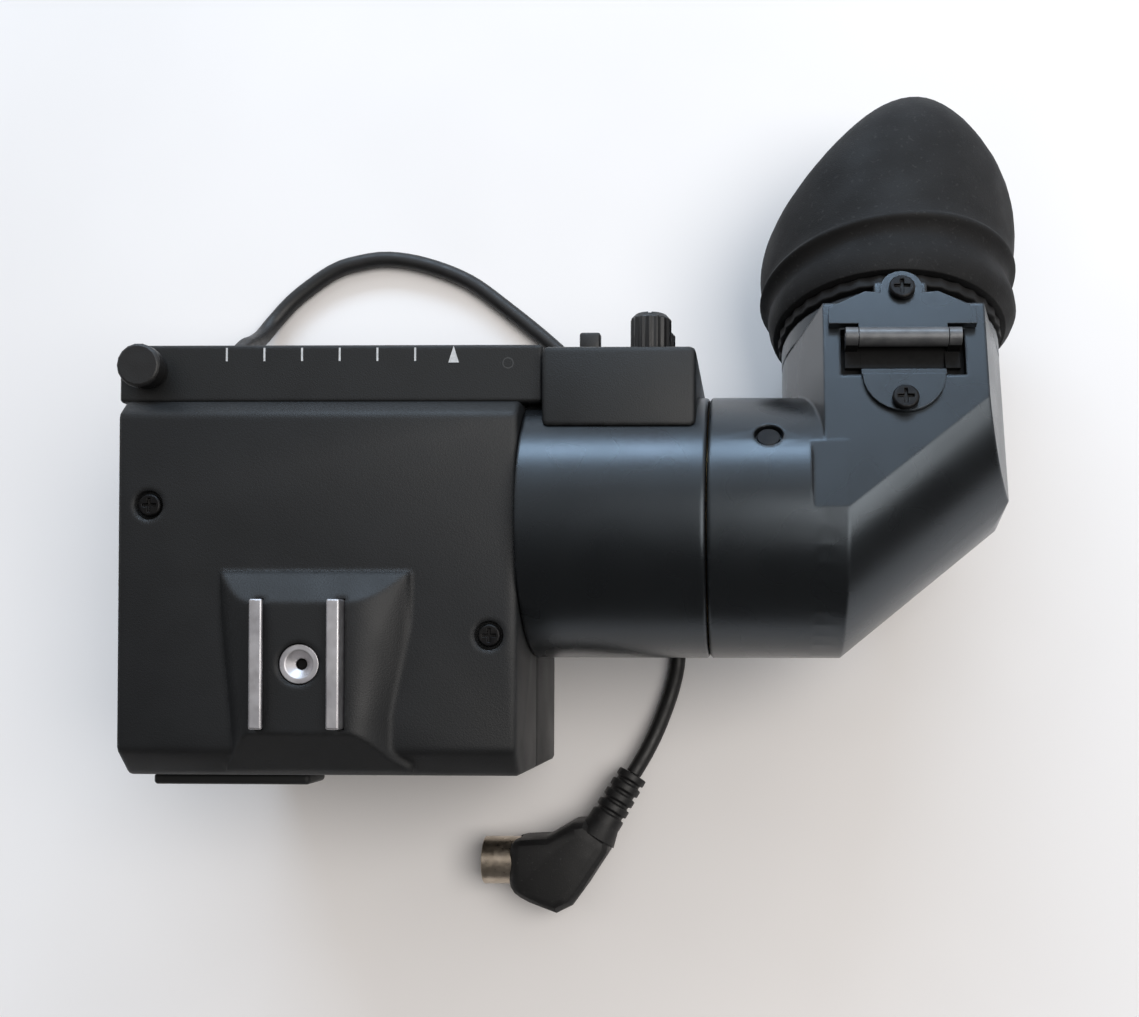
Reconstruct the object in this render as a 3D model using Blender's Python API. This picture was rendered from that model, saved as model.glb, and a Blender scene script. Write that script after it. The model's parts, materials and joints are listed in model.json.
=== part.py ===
"""Electronic viewfinder for a shoulder camera, modelled as separate pieces.

Metres, +Z up. The origin is the middle of the housing's flat bottom. The picture
tube points along +X into a mirror elbow, whose eyepiece points to the user, +Y.
"""

import math

import bmesh
import bpy
from mathutils import Matrix, Vector

# Fits shared by all pieces
CLEAR = 0.0003
RUN_CLEAR = 0.0004
OVERRUN = 0.003

# Housing
HOUSING_LENGTH = 0.103
HOUSING_DEPTH = 0.0972
HOUSING_TOP = 0.089
PARTING_HEIGHT = 0.0594
HOUSING_WALL = 0.0022
HOUSING_EDGE = 0.0012
BACK_CHAMFER = 0.0042
FRONT_SLOPE_RUN = 0.0068
FRONT_SLOPE_DROP = 0.0062
TAPER_HEIGHT = 0.030
BASE_INSET_X = 0.0050
BASE_INSET_Y = 0.0105
TUBE_WINDOW_RADIUS = 0.0200

# Raised platform that carries the accessory shoe
SHOE_X = -0.0021
SHOE_FRONT_Y = -0.0358
SHOE_BACK_Y = -0.0034
PLATFORM_RISE = 0.0060
PLATFORM_TOP = HOUSING_TOP + PLATFORM_RISE
PLATFORM_HALF = 0.0242
PLATFORM_BACK = 0.0039
PLATFORM_SINK = 0.0050
PLATFORM_TOP_SIDE = 0.0122
PLATFORM_BACK_RUN = 0.0080
PLATFORM_FRONT_MARGIN = 0.0012
SHOE_OUTER_WIDTH = 0.0226
SHOE_LIP_OPENING = 0.0160
SHOE_SLOT_WIDTH = 0.0187
SHOE_SLOT_HEIGHT = 0.0022
SHOE_LIP_THICK = 0.0012
RAIL_GROOVE_DEPTH = 0.0016
BUSH_Y = -0.0196
BUSH_RADIUS = 0.0050
BUSH_DEPTH = 0.0045
BUSH_MOUTH_RADIUS = 0.0036
BUSH_HOLE_RADIUS = 0.0014
BUSH_CONE_DEPTH = 0.0020

# Screws
COVER_SCREW_INSETS = ((0.0082, 0.0276), (0.0071, 0.0364))
COVER_RECESS_RADIUS = 0.0038
COVER_RECESS_DEPTH = 0.0016
COVER_HEAD_RADIUS = 0.0030
COVER_HEAD_HEIGHT = 0.0012
COVER_SHANK_RADIUS = 0.0013
COVER_SHANK_LENGTH = 0.0060
BASE_SCREW_INSET_X = 0.0155
BASE_SCREW_INSET_Y = 0.0206
BASE_HEAD_RADIUS = 0.0029
BASE_HEAD_HEIGHT = 0.0016
BASE_HEAD_SINK = 0.0006
BASE_SHANK_RADIUS = 0.0014
BASE_SHANK_LENGTH = 0.0090
BASE_FLOOR = 0.0032
BOARD_BOSS_RADIUS = 0.0040
CROSS_ARM_SHARE = 0.60
CROSS_WIDTH_SHARE = 0.13
CROSS_DEPTH_SHARE = 0.55

# Rail bar on the back wall, which slides onto the camera and carries the scale
BAR_OVERHANG = 0.0035
BAR_LEFT = -HOUSING_LENGTH / 2 - BAR_OVERHANG
BAR_REACH = 0.0050
BAR_RIGHT = HOUSING_LENGTH / 2 + BAR_REACH
BAR_DEPTH = 0.0151
BAR_DROP = 0.0075
BAR_TOP = HOUSING_TOP - BAR_DROP
BAR_HEIGHT = 0.0195
BAR_CORNER = 0.0030
CHANNEL_MOUTH = 0.0070
CHANNEL_ROOT = 0.0094
CHANNEL_DEPTH = 0.0050
STOP_INSET = 0.0082
STOP_X = BAR_LEFT + STOP_INSET
STOP_OFFSET = 0.0086
STOP_Y = HOUSING_DEPTH / 2 + STOP_OFFSET
STOP_KNOB_RADIUS = 0.0057
STOP_KNOB_HEIGHT = 0.0066
STOP_GRIP_RADIUS = 0.0047
STOP_STEM_RADIUS = 0.0015
STOP_COLLAR_RADIUS = 0.0028
STOP_COLLAR_THICK = 0.0012
STOP_POCKET_RADIUS = 0.0034
STOP_POCKET_DEPTH = 0.0120
STOP_BUSH_THICK = 0.0020
STOP_PIN_REACH = 0.0035
STOP_SPRING_WIRE = 0.0006
STOP_SPRING_TURNS = 4.5

# Tally light on the front wall
TALLY_INSET = 0.0035
TALLY_LEFT = -HOUSING_LENGTH / 2 + TALLY_INSET
TALLY_WIDTH = 0.0418
TALLY_RIGHT = TALLY_LEFT + TALLY_WIDTH
TALLY_RISE = 0.0041
TALLY_LOW = PARTING_HEIGHT + TALLY_RISE
TALLY_HEIGHT = 0.0125
TALLY_HIGH = TALLY_LOW + TALLY_HEIGHT
TALLY_PROUD = 0.0032
TALLY_FRAME = 0.0024
TALLY_WINDOW_THICK = 0.0016
LAMP_RADIUS = 0.0025
LAMP_LENGTH = 0.0060

# Picture tube and the fixed barrel round it
AXIS_Y = 0.0180
AXIS_Z = 0.0595
BARREL_RADIUS = 0.03575
BARREL_WALL = 0.0025
BARREL_END_WALL = 0.0027
BARREL_LENGTH = 0.0482
BARREL_END = HOUSING_LENGTH / 2 + BARREL_LENGTH
TUBE_FACE_SINK = 0.0097
TUBE_RIM_END = BARREL_END - TUBE_FACE_SINK
TUBE_RIM_LENGTH = 0.0070
TUBE_RIM_START = TUBE_RIM_END - TUBE_RIM_LENGTH
TUBE_FUNNEL_LENGTH = 0.0210
TUBE_NECK_END = TUBE_RIM_START - TUBE_FUNNEL_LENGTH
TUBE_NECK_LENGTH = 0.0500
TUBE_BACK = TUBE_NECK_END - TUBE_NECK_LENGTH
TUBE_NECK_RADIUS = 0.0065
TUBE_DOME = 0.0015
TUBE_HALF_WIDTH = 0.0170
TUBE_HALF_HEIGHT = 0.0135
TUBE_SQUARENESS = 5.0
FUNNEL_SHARES = ((0.0, 0.0), (0.30, 0.22), (0.65, 0.68), (1.0, 1.0))
DOME_SHARE = 0.6
HOLDER_STEP = 0.0010
HOLDER_START = TUBE_RIM_START + HOLDER_STEP
HOLDER_THICK = 0.0040
YOKE_LENGTH = 0.0180
YOKE_END = TUBE_NECK_END
YOKE_START = YOKE_END - YOKE_LENGTH
YOKE_RADIUS = 0.0180
YOKE_CORE_RADIUS = 0.0135
YOKE_FLANGE = 0.0030
SOCKET_RADIUS = 0.0120
SOCKET_THICK = 0.0045
BEARING_SINK = 0.0077
BEARING_START = BARREL_END - BEARING_SINK
BEARING_REACH = 0.0100
BEARING_BORE_RADIUS = 0.0272

# Inside the housing
BOARD_HEIGHT = 0.0160
BOARD_THICK = 0.0016
BOARD_INSET_X = 0.0060
BOARD_HALF_X = HOUSING_LENGTH / 2 - BOARD_INSET_X
BOARD_INSET_Y = 0.0086
BOARD_HALF_Y = HOUSING_DEPTH / 2 - BOARD_INSET_Y
TRANSFORMER_INSET = 0.0155
TRANSFORMER_X = TRANSFORMER_INSET - BOARD_HALF_X
TRANSFORMER_Y = 0.0120
TRANSFORMER_SIZE = (0.0300, 0.0260, 0.0280)
TRANSFORMER_COIL_RADIUS = 0.0110
TRANSFORMER_COIL_RISE = 0.0060

# Control box beside the barrel
CONTROL_GAP = 0.0005
CONTROL_LEFT = BAR_RIGHT + CONTROL_GAP
CONTROL_LENGTH = 0.0398
CONTROL_RIGHT = CONTROL_LEFT + CONTROL_LENGTH
CONTROL_PROUD = 0.00865
CONTROL_BACK = AXIS_Y + BARREL_RADIUS + CONTROL_PROUD
CONTROL_DEPTH = 0.0284
CONTROL_FRONT = CONTROL_BACK - CONTROL_DEPTH
CONTROL_RISE = 0.0270
CONTROL_TOP = AXIS_Z + CONTROL_RISE
CONTROL_HEIGHT = 0.0580
CONTROL_BOTTOM = CONTROL_TOP - CONTROL_HEIGHT
CONTROL_WALL = 0.0020
CONTROL_EDGE = 0.0016
KNOB_INSET = 0.0272
KNOB_X = CONTROL_LEFT + KNOB_INSET
KNOB_DROP = 0.0125
KNOB_PITCH = 0.0160
KNOB_HEIGHTS = tuple(CONTROL_TOP - KNOB_DROP - KNOB_PITCH * row for row in range(3))
KNOB_RADIUS = 0.0055
KNOB_LENGTH = 0.0108
KNOB_CHAMFER = 0.0014
KNOB_SHAFT_RADIUS = 0.0016
KNOB_HOLE_RADIUS = 0.0021
KNOB_GRIP_DEPTH = 0.0004
KNOB_GRIP_COUNT = 16
POT_RADIUS = 0.0048
POT_DEPTH = 0.0040
LEVER_INSET = 0.0105
LEVER_X = CONTROL_LEFT + LEVER_INSET
LEVER_DROP = 0.0165
LEVER_PITCH = 0.0200
LEVER_HEIGHTS = tuple(CONTROL_TOP - LEVER_DROP - LEVER_PITCH * row for row in range(2))
LEVER_WIDTH = 0.0056
LEVER_THICK = 0.0030
LEVER_PROUD = 0.0074
LEVER_SLOT_WIDTH = 0.0064
LEVER_SLOT_HEIGHT = 0.0084
SWITCH_SIZE = (0.0090, 0.0046, 0.0110)

# Elbow; sizes in its own frame: x from the barrel's end, s along the eyepiece, h above it
ELBOW_TILT = math.radians(-18.0)
ELBOW_START = 0.0003
ELBOW_CROWN_END = 0.0265
ELBOW_FOLD = 0.0358
ELBOW_LEAN = 0.8500
ELBOW_RIGHT = 0.0823
ELBOW_CORNER = 0.0140
FLAT_HEIGHT = 0.0345
BLOCK_CENTRE = 0.0512
BLOCK_END = 0.0495
BLOCK_RADIUS = 0.0311
BLOCK_TOP_HALF = 0.0206
BLOCK_TOP_ROUND = 0.0016
SADDLE_START = 0.0183
ELBOW_BORE_RADIUS = 0.0305
ELBOW_BORE_END = 0.0223
ELBOW_WALL = 0.0030
HOLLOW_RADIUS = 0.0329
HOLLOW_HEIGHT = 0.0295
FUSE_STEP = 0.00003
EYE_BORE_RADIUS = 0.0240
RECESS_X = 0.0158
RECESS_ANGLE = math.radians(18.3)
RECESS_RADIUS = 0.0038
RECESS_DEPTH = 0.0026
FRICTION_HEAD_RADIUS = 0.0030
FRICTION_HEAD_HEIGHT = 0.0014
MIRROR_HALF_LENGTH = 0.0260
MIRROR_HALF_HEIGHT = 0.0200
MIRROR_THICK = 0.0015
HOLDER_LENGTH_SHARE = 0.92
HOLDER_PLATE = 0.0018
HOLDER_POST_HALF = 0.0095
HOLDER_POST_START = 0.0443
HOLDER_POST_END = 0.0603

# Flip hinge on top of the elbow block
HINGE_X = 0.0506
PIN_S = 0.0383
PIN_H = 0.0360
PIN_RADIUS = 0.0011
PIN_HOLE_RADIUS = 0.0014
KNUCKLE_RADIUS = 0.0025
KNUCKLE_HALF = 0.0115
EAR_WIDTH = 0.0033
PIN_HALF = 0.0150
POCKET_HALF = 0.0161
POCKET_FRONT = 0.0281
POCKET_BACK = 0.0416
POCKET_DEPTH = 0.0030
LEAF_THICK = 0.0008
LEAF_FLOOR = 0.0011
LEAF_RAMP = 0.0026
LEAF_ROUND = 0.0107
LEAF_SCREW_S = 0.0204
HINGE_HEAD_RADIUS = 0.0035
HINGE_HEAD_HEIGHT = 0.0014
HINGE_SHANK_RADIUS = 0.0012
HINGE_SHANK_LENGTH = 0.0030
UPPER_LEAF_THICK = 0.0020
UPPER_LEAF_HALF = 0.0192
UPPER_LEAF_SHOULDER = 0.0466
UPPER_LEAF_NOSE_HALF = 0.0096
UPPER_LEAF_NOSE = 0.0516
UPPER_SCREW_S = 0.0522
UPPER_BOSS_RADIUS = 0.0056

# Eyepiece that flips up; s again, radii about its own axis
COLLAR_START = 0.0498
COLLAR_END = 0.0570
COLLAR_RADIUS = 0.0312
COLLAR_WALL = 0.0060
SNOUT_END = 0.0665
SNOUT_RADIUS = 0.0266
SNOUT_BORE_RADIUS = 0.0238
COLLAR_PAD_HALF = 0.0070
FOCUS_START = 0.0573
FOCUS_END = 0.0603
FOCUS_RADIUS = 0.0322
FOCUS_GRIP_DEPTH = 0.0006
FOCUS_GRIP_COUNT = 36
RING_START = 0.0606
RING_END = 0.0660
RING_RADIUS = 0.0310
LENS_BARREL_START = 0.0530
LENS_BARREL_END = 0.0630
LENS_BARREL_WALL = 0.0022
LENS_RADIUS = 0.0208
LENS_EDGE = 0.0016
LENS_BULGE = 0.0018
LENS_SEAT = 0.0010
CATCH_HALF = 0.0060
CATCH_THICK = 0.0008
CATCH_GAP = 0.0008
CATCH_REACH = 0.0035

# Rubber eyecup
CUP_WALL = 0.0024
CUP_START = 0.0607
CUP_RIDGE = 0.0755
CUP_HOOD = 0.0770
CUP_RADII = ((0.0607, 0.0336), (0.0660, 0.0342), (0.0738, 0.0360), (0.0755, 0.0376), (0.0770, 0.0367))
CUP_HOOD_SHARES = (
    (0.15, 1.0), (0.32, 0.999), (0.48, 0.995), (0.62, 0.980), (0.75, 0.935), (0.87, 0.860), (1.0, 0.752),
)
CUP_RIM_SHORT = 0.0870
CUP_RIM_LONG = 0.1238
CUP_WING_ANGLE = math.radians(66.8)
CUP_WING_POWER = 1.96
CUP_SIDE_SWELL = 0.0017
CUP_LOW_DENT = 0.0014
CUP_RIDGE_SLANT = 0.0035
CUP_SWELL_SHARE = 1.2
CUP_SIDES = 32

# Cable on the table, from the back wall to the angled plug
CABLE_RADIUS = 0.0025
RELIEF_INSET = 0.0075
RELIEF_X = -HOUSING_LENGTH / 2 + RELIEF_INSET
RELIEF_Z = 0.0360
RELIEF_LENGTH = 0.0150
RELIEF_ROOT_RADIUS = 0.0058
RELIEF_TIP_RADIUS = 0.0042
RELIEF_GROOVES = 4
CABLE_ROUTE = (
    (-0.0440, 0.0645, 0.0360), (-0.0440, 0.0695, 0.0350), (-0.0448, 0.0748, 0.0304),
    (-0.0459, 0.0786, 0.0234), (-0.0469, 0.0816, 0.0154), (-0.0472, 0.0855, 0.0082),
    (-0.0455, 0.0908, 0.0040), (-0.0382, 0.0995, 0.0027), (-0.0263, 0.1081, 0.0026),
    (-0.0173, 0.1111, 0.0026), (-0.0075, 0.1122, 0.0026), (0.0048, 0.1101, 0.0026),
    (0.0187, 0.1046, 0.0026), (0.0316, 0.0953, 0.0026), (0.0455, 0.0840, 0.0026),
    (0.0576, 0.0724, 0.0026), (0.0684, 0.0592, 0.0026), (0.0768, 0.0445, 0.0026),
    (0.0826, 0.0288, 0.0026), (0.0858, 0.0124, 0.0026), (0.0872, -0.0030, 0.0026),
    (0.0872, -0.0176, 0.0026), (0.0859, -0.0257, 0.0027), (0.0837, -0.0331, 0.0034),
    (0.0806, -0.0413, 0.0050), (0.0770, -0.0488, 0.0067), (0.0734, -0.0549, 0.0080),
)
CABLE_START_GAP = 0.0006
CABLE_TIED_POINTS = 12
CABLE_STEP = 0.0068
BOOT_LENGTH = 0.0185
BOOT_ROOT_RADIUS = 0.0054
BOOT_TIP_RADIUS = 0.0048
BOOT_RIBS = 5
BOOT_GROOVE = 0.0009
BOOT_RIB_SHARE = 0.60
GROOVE_FLOOR_SHARES = (0.65, 0.95)
PLUG_AXIS_Z = 0.0096
PLUG_OUTLINE = (
    (0.0350, -0.0748), (0.0470, -0.0742), (0.0552, -0.0694), (0.0590, -0.0690),
    (0.0668, -0.0752), (0.0664, -0.0790), (0.0590, -0.0904), (0.0552, -0.0956),
    (0.0500, -0.0982), (0.0415, -0.0950), (0.0350, -0.0916),
)
PLUG_THICK = 0.0186
PLUG_EDGE = 0.0040
SHELL_Y = -0.0824
SHELL_RADIUS = 0.0075
SHELL_LENGTH = 0.0086
SHELL_WALL = 0.0007
INSERT_RADIUS = 0.0064
INSERT_SINK = 0.0030
PIN_COUNT = 8
CONTACT_RADIUS = 0.0005
CONTACT_CIRCLE = 0.0042
CONTACT_LENGTH = 0.0018

# Mesh fineness
FINE_STEPS = 48
ROUND_STEPS = 32
SMALL_STEPS = 18
SCREW_STEPS = 14


def clear_scene():
    """Remove every object that the file opens with."""
    for old in list(bpy.data.objects):
        bpy.data.objects.remove(old, do_unlink=True)


def make_finish(name, colour, roughness, metallic=0.0, alpha=1.0):
    """Return a plain Principled material."""
    finish = bpy.data.materials.new(name)
    finish.use_nodes = True
    shader = finish.node_tree.nodes["Principled BSDF"]
    shader.inputs["Base Color"].default_value = (*colour, 1.0)
    shader.inputs["Roughness"].default_value = roughness
    shader.inputs["Metallic"].default_value = metallic
    shader.inputs["Alpha"].default_value = alpha
    return finish


def make_finishes():
    """Return every finish of the object by name."""
    return {
        "case": make_finish("case_plastic", (0.022, 0.024, 0.026), 0.55),
        "paint": make_finish("anthracite_paint", (0.050, 0.056, 0.068), 0.38, 0.2),
        "rubber": make_finish("rubber", (0.030, 0.030, 0.032), 0.75),
        "knob": make_finish("knob_plastic", (0.016, 0.016, 0.017), 0.5),
        "steel": make_finish("steel", (0.66, 0.66, 0.65), 0.28, 1.0),
        "black_steel": make_finish("black_steel", (0.03, 0.03, 0.03), 0.4, 0.8),
        "nickel": make_finish("nickel", (0.62, 0.56, 0.46), 0.35, 1.0),
        "brass": make_finish("brass", (0.70, 0.52, 0.25), 0.35, 1.0),
        "copper": make_finish("copper_winding", (0.62, 0.27, 0.12), 0.4, 0.9),
        "glass": make_finish("glass", (0.80, 0.86, 0.86), 0.05, 0.0, 0.35),
        "screen": make_finish("tube_glass", (0.30, 0.33, 0.32), 0.12),
        "mirror": make_finish("mirror", (0.85, 0.87, 0.88), 0.04, 1.0),
        "board": make_finish("circuit_board", (0.05, 0.20, 0.09), 0.5),
        "resin": make_finish("dark_resin", (0.04, 0.035, 0.03), 0.5),
        "red": make_finish("red_lens", (0.28, 0.02, 0.02), 0.2),
        "cable": make_finish("cable_jacket", (0.014, 0.014, 0.015), 0.6),
    }


def put(name, bm, finish=None, parent=None, place=(0, 0, 0)):
    """Make an object of the bmesh, shaded smooth up to sharp edges."""
    bmesh.ops.recalc_face_normals(bm, faces=bm.faces)
    mesh = bpy.data.meshes.new(name)
    bm.to_mesh(mesh)
    bm.free()
    mesh.shade_smooth()
    mesh.set_sharp_from_angle(angle=math.radians(35))
    if finish is not None:
        mesh.materials.append(finish)
    piece = bpy.data.objects.new(name, mesh)
    piece.location = place
    piece.parent = parent
    bpy.context.collection.objects.link(piece)
    return piece


def pivot(name, place, parent=None, tilt=0.0):
    """Return an empty that carries pieces turned about X."""
    empty = bpy.data.objects.new(name, None)
    empty.location = place
    empty.rotation_euler = (tilt, 0, 0)
    empty.parent = parent
    bpy.context.collection.objects.link(empty)
    return empty


def turn_to(bm, along):
    """Turn a form made along Z so that it lies along the named axis."""
    if along == "X":
        matrix = Matrix.Rotation(math.radians(90), 3, "Y")
    elif along == "Y":
        matrix = Matrix.Rotation(math.radians(-90), 3, "X")
    else:
        return bm
    bmesh.ops.rotate(bm, cent=(0, 0, 0), matrix=matrix, verts=bm.verts)
    return bm


def turned(outline, steps, along="Z"):
    """Spin (radius, height) points into a closed solid of revolution."""
    bm = bmesh.new()
    ring = [bm.verts.new((radius, 0, height)) for radius, height in outline]
    on_axis = outline[0][0] == 0 and outline[-1][0] == 0
    pairs = list(zip(ring, ring[1:]))
    if not on_axis:
        pairs.append((ring[-1], ring[0]))
    edges = [bm.edges.new(pair) for pair in pairs]
    bmesh.ops.spin(
        bm, geom=ring + edges, cent=(0, 0, 0), axis=(0, 0, 1),
        angle=math.tau, steps=steps, use_merge=True,
    )
    bmesh.ops.remove_doubles(bm, verts=bm.verts, dist=CLEAR / 100)
    return turn_to(bm, along)


def disc(radius, low, high, steps=SMALL_STEPS, along="Z"):
    """Return a closed cylinder."""
    return turned([(0, low), (radius, low), (radius, high), (0, high)], steps, along)


def block(low, high):
    """Return a box between two corners."""
    bm = bmesh.new()
    bmesh.ops.create_cube(bm, size=1)
    size = [b - a for a, b in zip(low, high)]
    middle = [(a + b) / 2 for a, b in zip(low, high)]
    bmesh.ops.scale(bm, vec=size, verts=bm.verts)
    bmesh.ops.translate(bm, vec=middle, verts=bm.verts)
    return bm


def prism(outline, low, high, along="Z"):
    """Extrude an outline: (y, z) along X, (x, z) along Y or (x, y) along Z."""
    orders = {
        "X": lambda u, v, w: (w, u, v),
        "Y": lambda u, v, w: (u, w, v),
        "Z": lambda u, v, w: (u, v, w),
    }
    order = orders[along]
    bm = bmesh.new()
    face = bm.faces.new([bm.verts.new(order(u, v, low)) for u, v in outline])
    made = bmesh.ops.extrude_face_region(bm, geom=[face])
    raised = [part for part in made["geom"] if isinstance(part, bmesh.types.BMVert)]
    bmesh.ops.translate(bm, vec=order(0, 0, high - low), verts=raised)
    return bm


def arc(centre, radius, start, end, steps):
    """Return points on an arc, angles in degrees."""
    points = []
    for step in range(steps + 1):
        angle = math.radians(start + (end - start) * step / steps)
        points.append((centre[0] + radius * math.cos(angle), centre[1] + radius * math.sin(angle)))
    return points


def shift(bm, offset):
    """Move a bmesh and return it."""
    bmesh.ops.translate(bm, vec=offset, verts=bm.verts)
    return bm


def bridge_rings(rings):
    """Join rings of points into one closed solid with flat ends."""
    bm = bmesh.new()
    loops = []
    for points in rings:
        corners = [bm.verts.new(point) for point in points]
        loops.append([bm.edges.new((a, b)) for a, b in zip(corners, corners[1:] + corners[:1])])
    for first, second in zip(loops, loops[1:]):
        bmesh.ops.bridge_loops(bm, edges=first + second)
    for edges in (loops[0], loops[-1]):
        bmesh.ops.contextual_create(bm, geom=edges)
    return bm


def bevel(piece, width, segments=2, angle=40.0):
    """Round the sharp edges of a piece."""
    rounding = piece.modifiers.new("rounding", "BEVEL")
    rounding.width = width
    rounding.segments = segments
    rounding.limit_method = "ANGLE"
    rounding.angle_limit = math.radians(angle)
    return piece


def hide_tool(tool):
    """Keep a cutter out of the finished object."""
    tool.hide_render = True
    tool.display_type = "WIRE"


def combine(piece, tool, operation, name):
    """Change a piece by a tool that is an object already."""
    change = piece.modifiers.new(name, "BOOLEAN")
    change.operation = operation
    change.object = tool


def boolean(piece, tool_bm, operation, parent=None, tool_name="tool"):
    """Cut, join or clip a piece with a hidden tool."""
    tool = put(f"{piece.name}_{tool_name}", tool_bm, None, parent)
    hide_tool(tool)
    combine(piece, tool, operation, tool_name)
    return tool


def cut(piece, tool_bm, parent=None, tool_name="cut"):
    """Take a form out of a piece."""
    return boolean(piece, tool_bm, "DIFFERENCE", parent, tool_name)


def join(piece, tool_bm, parent=None, tool_name="join"):
    """Fuse a form to a piece."""
    return boolean(piece, tool_bm, "UNION", parent, tool_name)


def clip(piece, tool_bm, parent=None, tool_name="clip"):
    """Keep only what lies inside a form."""
    return boolean(piece, tool_bm, "INTERSECT", parent, tool_name)


def cover_profile(inset, low):
    """Return the (y, z) outline of the top cover, or of its hollow."""
    half = HOUSING_DEPTH / 2 - inset
    top = HOUSING_TOP - inset
    return [
        (-half, low), (half, low), (half, top - BACK_CHAMFER), (half - BACK_CHAMFER, top),
        (-half + FRONT_SLOPE_RUN, top), (-half, top - FRONT_SLOPE_DROP),
    ]


def platform_form():
    """Return the sloped mound under the shoe."""
    low = HOUSING_TOP - PLATFORM_SINK
    front = -HOUSING_DEPTH / 2 + HOUSING_EDGE
    base = [
        (-PLATFORM_HALF, front, low), (PLATFORM_HALF, front, low),
        (PLATFORM_HALF, PLATFORM_BACK, low), (-PLATFORM_HALF, PLATFORM_BACK, low),
    ]
    front_top = SHOE_FRONT_Y - PLATFORM_FRONT_MARGIN
    back_top = PLATFORM_BACK - PLATFORM_BACK_RUN
    top = [
        (SHOE_X - PLATFORM_TOP_SIDE, front_top, PLATFORM_TOP),
        (SHOE_X + PLATFORM_TOP_SIDE, front_top, PLATFORM_TOP),
        (SHOE_X + PLATFORM_TOP_SIDE, back_top, PLATFORM_TOP),
        (SHOE_X - PLATFORM_TOP_SIDE, back_top, PLATFORM_TOP),
    ]
    skirt = [(x, y, HOUSING_TOP + (HOUSING_EDGE if y > 0 else -FRONT_SLOPE_DROP / 2)) for x, y, z in base]
    return bridge_rings([base, skirt, top])


def rail_wall_faces(side):
    """Return the outer and inner x of a shoe rail's wall."""
    outer = SHOE_X + side * SHOE_OUTER_WIDTH / 2
    inner = SHOE_X + side * SHOE_SLOT_WIDTH / 2
    return outer, inner


def make_top_cover(finish):
    """Top cover with chamfered back, sloped front and the shoe platform."""
    low = PARTING_HEIGHT + CLEAR / 2
    half = HOUSING_LENGTH / 2
    cover = put("top_cover", prism(cover_profile(0, low), -half, half, "X"), finish["case"])
    bevel(cover, HOUSING_EDGE)
    join(cover, platform_form(), tool_name="platform")
    inside = half - HOUSING_WALL
    hollow = prism(cover_profile(HOUSING_WALL, low - OVERRUN), -inside, inside, "X")
    cut(cover, hollow, tool_name="hollow")
    window = disc(TUBE_WINDOW_RADIUS, inside - OVERRUN, half + OVERRUN, ROUND_STEPS, "X")
    cut(cover, shift(window, (0, AXIS_Y, AXIS_Z)), tool_name="tube_window")
    for number, (x, y) in enumerate(cover_screw_places()):
        floor = HOUSING_TOP - COVER_RECESS_DEPTH
        hole = turned([
            (0, floor - OVERRUN), (COVER_SHANK_RADIUS + CLEAR, floor - OVERRUN),
            (COVER_SHANK_RADIUS + CLEAR, floor), (COVER_RECESS_RADIUS, floor),
            (COVER_RECESS_RADIUS, HOUSING_TOP + OVERRUN), (0, HOUSING_TOP + OVERRUN),
        ], SMALL_STEPS)
        cut(cover, shift(hole, (x, y, 0)), tool_name=f"screw_recess_{number}")
    for side in (-1, 1):
        outer, inner = rail_wall_faces(side)
        groove = block(
            (min(outer, inner) - CLEAR, SHOE_FRONT_Y - CLEAR, PLATFORM_TOP - RAIL_GROOVE_DEPTH),
            (max(outer, inner) + CLEAR, SHOE_BACK_Y + CLEAR, PLATFORM_TOP + OVERRUN),
        )
        cut(cover, groove, tool_name=f"rail_groove_{'left' if side < 0 else 'right'}")
    floor = PLATFORM_TOP - BUSH_DEPTH - 2 * CLEAR
    seat = disc(BUSH_RADIUS + CLEAR, floor, PLATFORM_TOP + OVERRUN, ROUND_STEPS)
    cut(cover, shift(seat, (SHOE_X, BUSH_Y, 0)), tool_name="bush_seat")
    lamp_z = (TALLY_LOW + TALLY_HIGH) / 2
    lamp_x = (TALLY_LEFT + TALLY_RIGHT) / 2
    front = -HOUSING_DEPTH / 2
    lamp_hole = disc(LAMP_RADIUS + CLEAR, front - OVERRUN, front + HOUSING_WALL + OVERRUN, SMALL_STEPS, "Y")
    cut(cover, shift(lamp_hole, (lamp_x, 0, lamp_z)), tool_name="lamp_hole")
    return cover


def bottom_rings(inset, top, floor):
    """Return the tapered rings of the bottom cover, or of its hollow."""
    half_x = HOUSING_LENGTH / 2 - inset
    half_y = HOUSING_DEPTH / 2 - inset
    low_x = half_x - BASE_INSET_X
    low_y = half_y - BASE_INSET_Y
    rings = []
    for x, y, z in ((low_x, low_y, floor), (half_x, half_y, TAPER_HEIGHT), (half_x, half_y, top)):
        rings.append([(-x, -y, z), (x, -y, z), (x, y, z), (-x, y, z)])
    return rings


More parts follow.
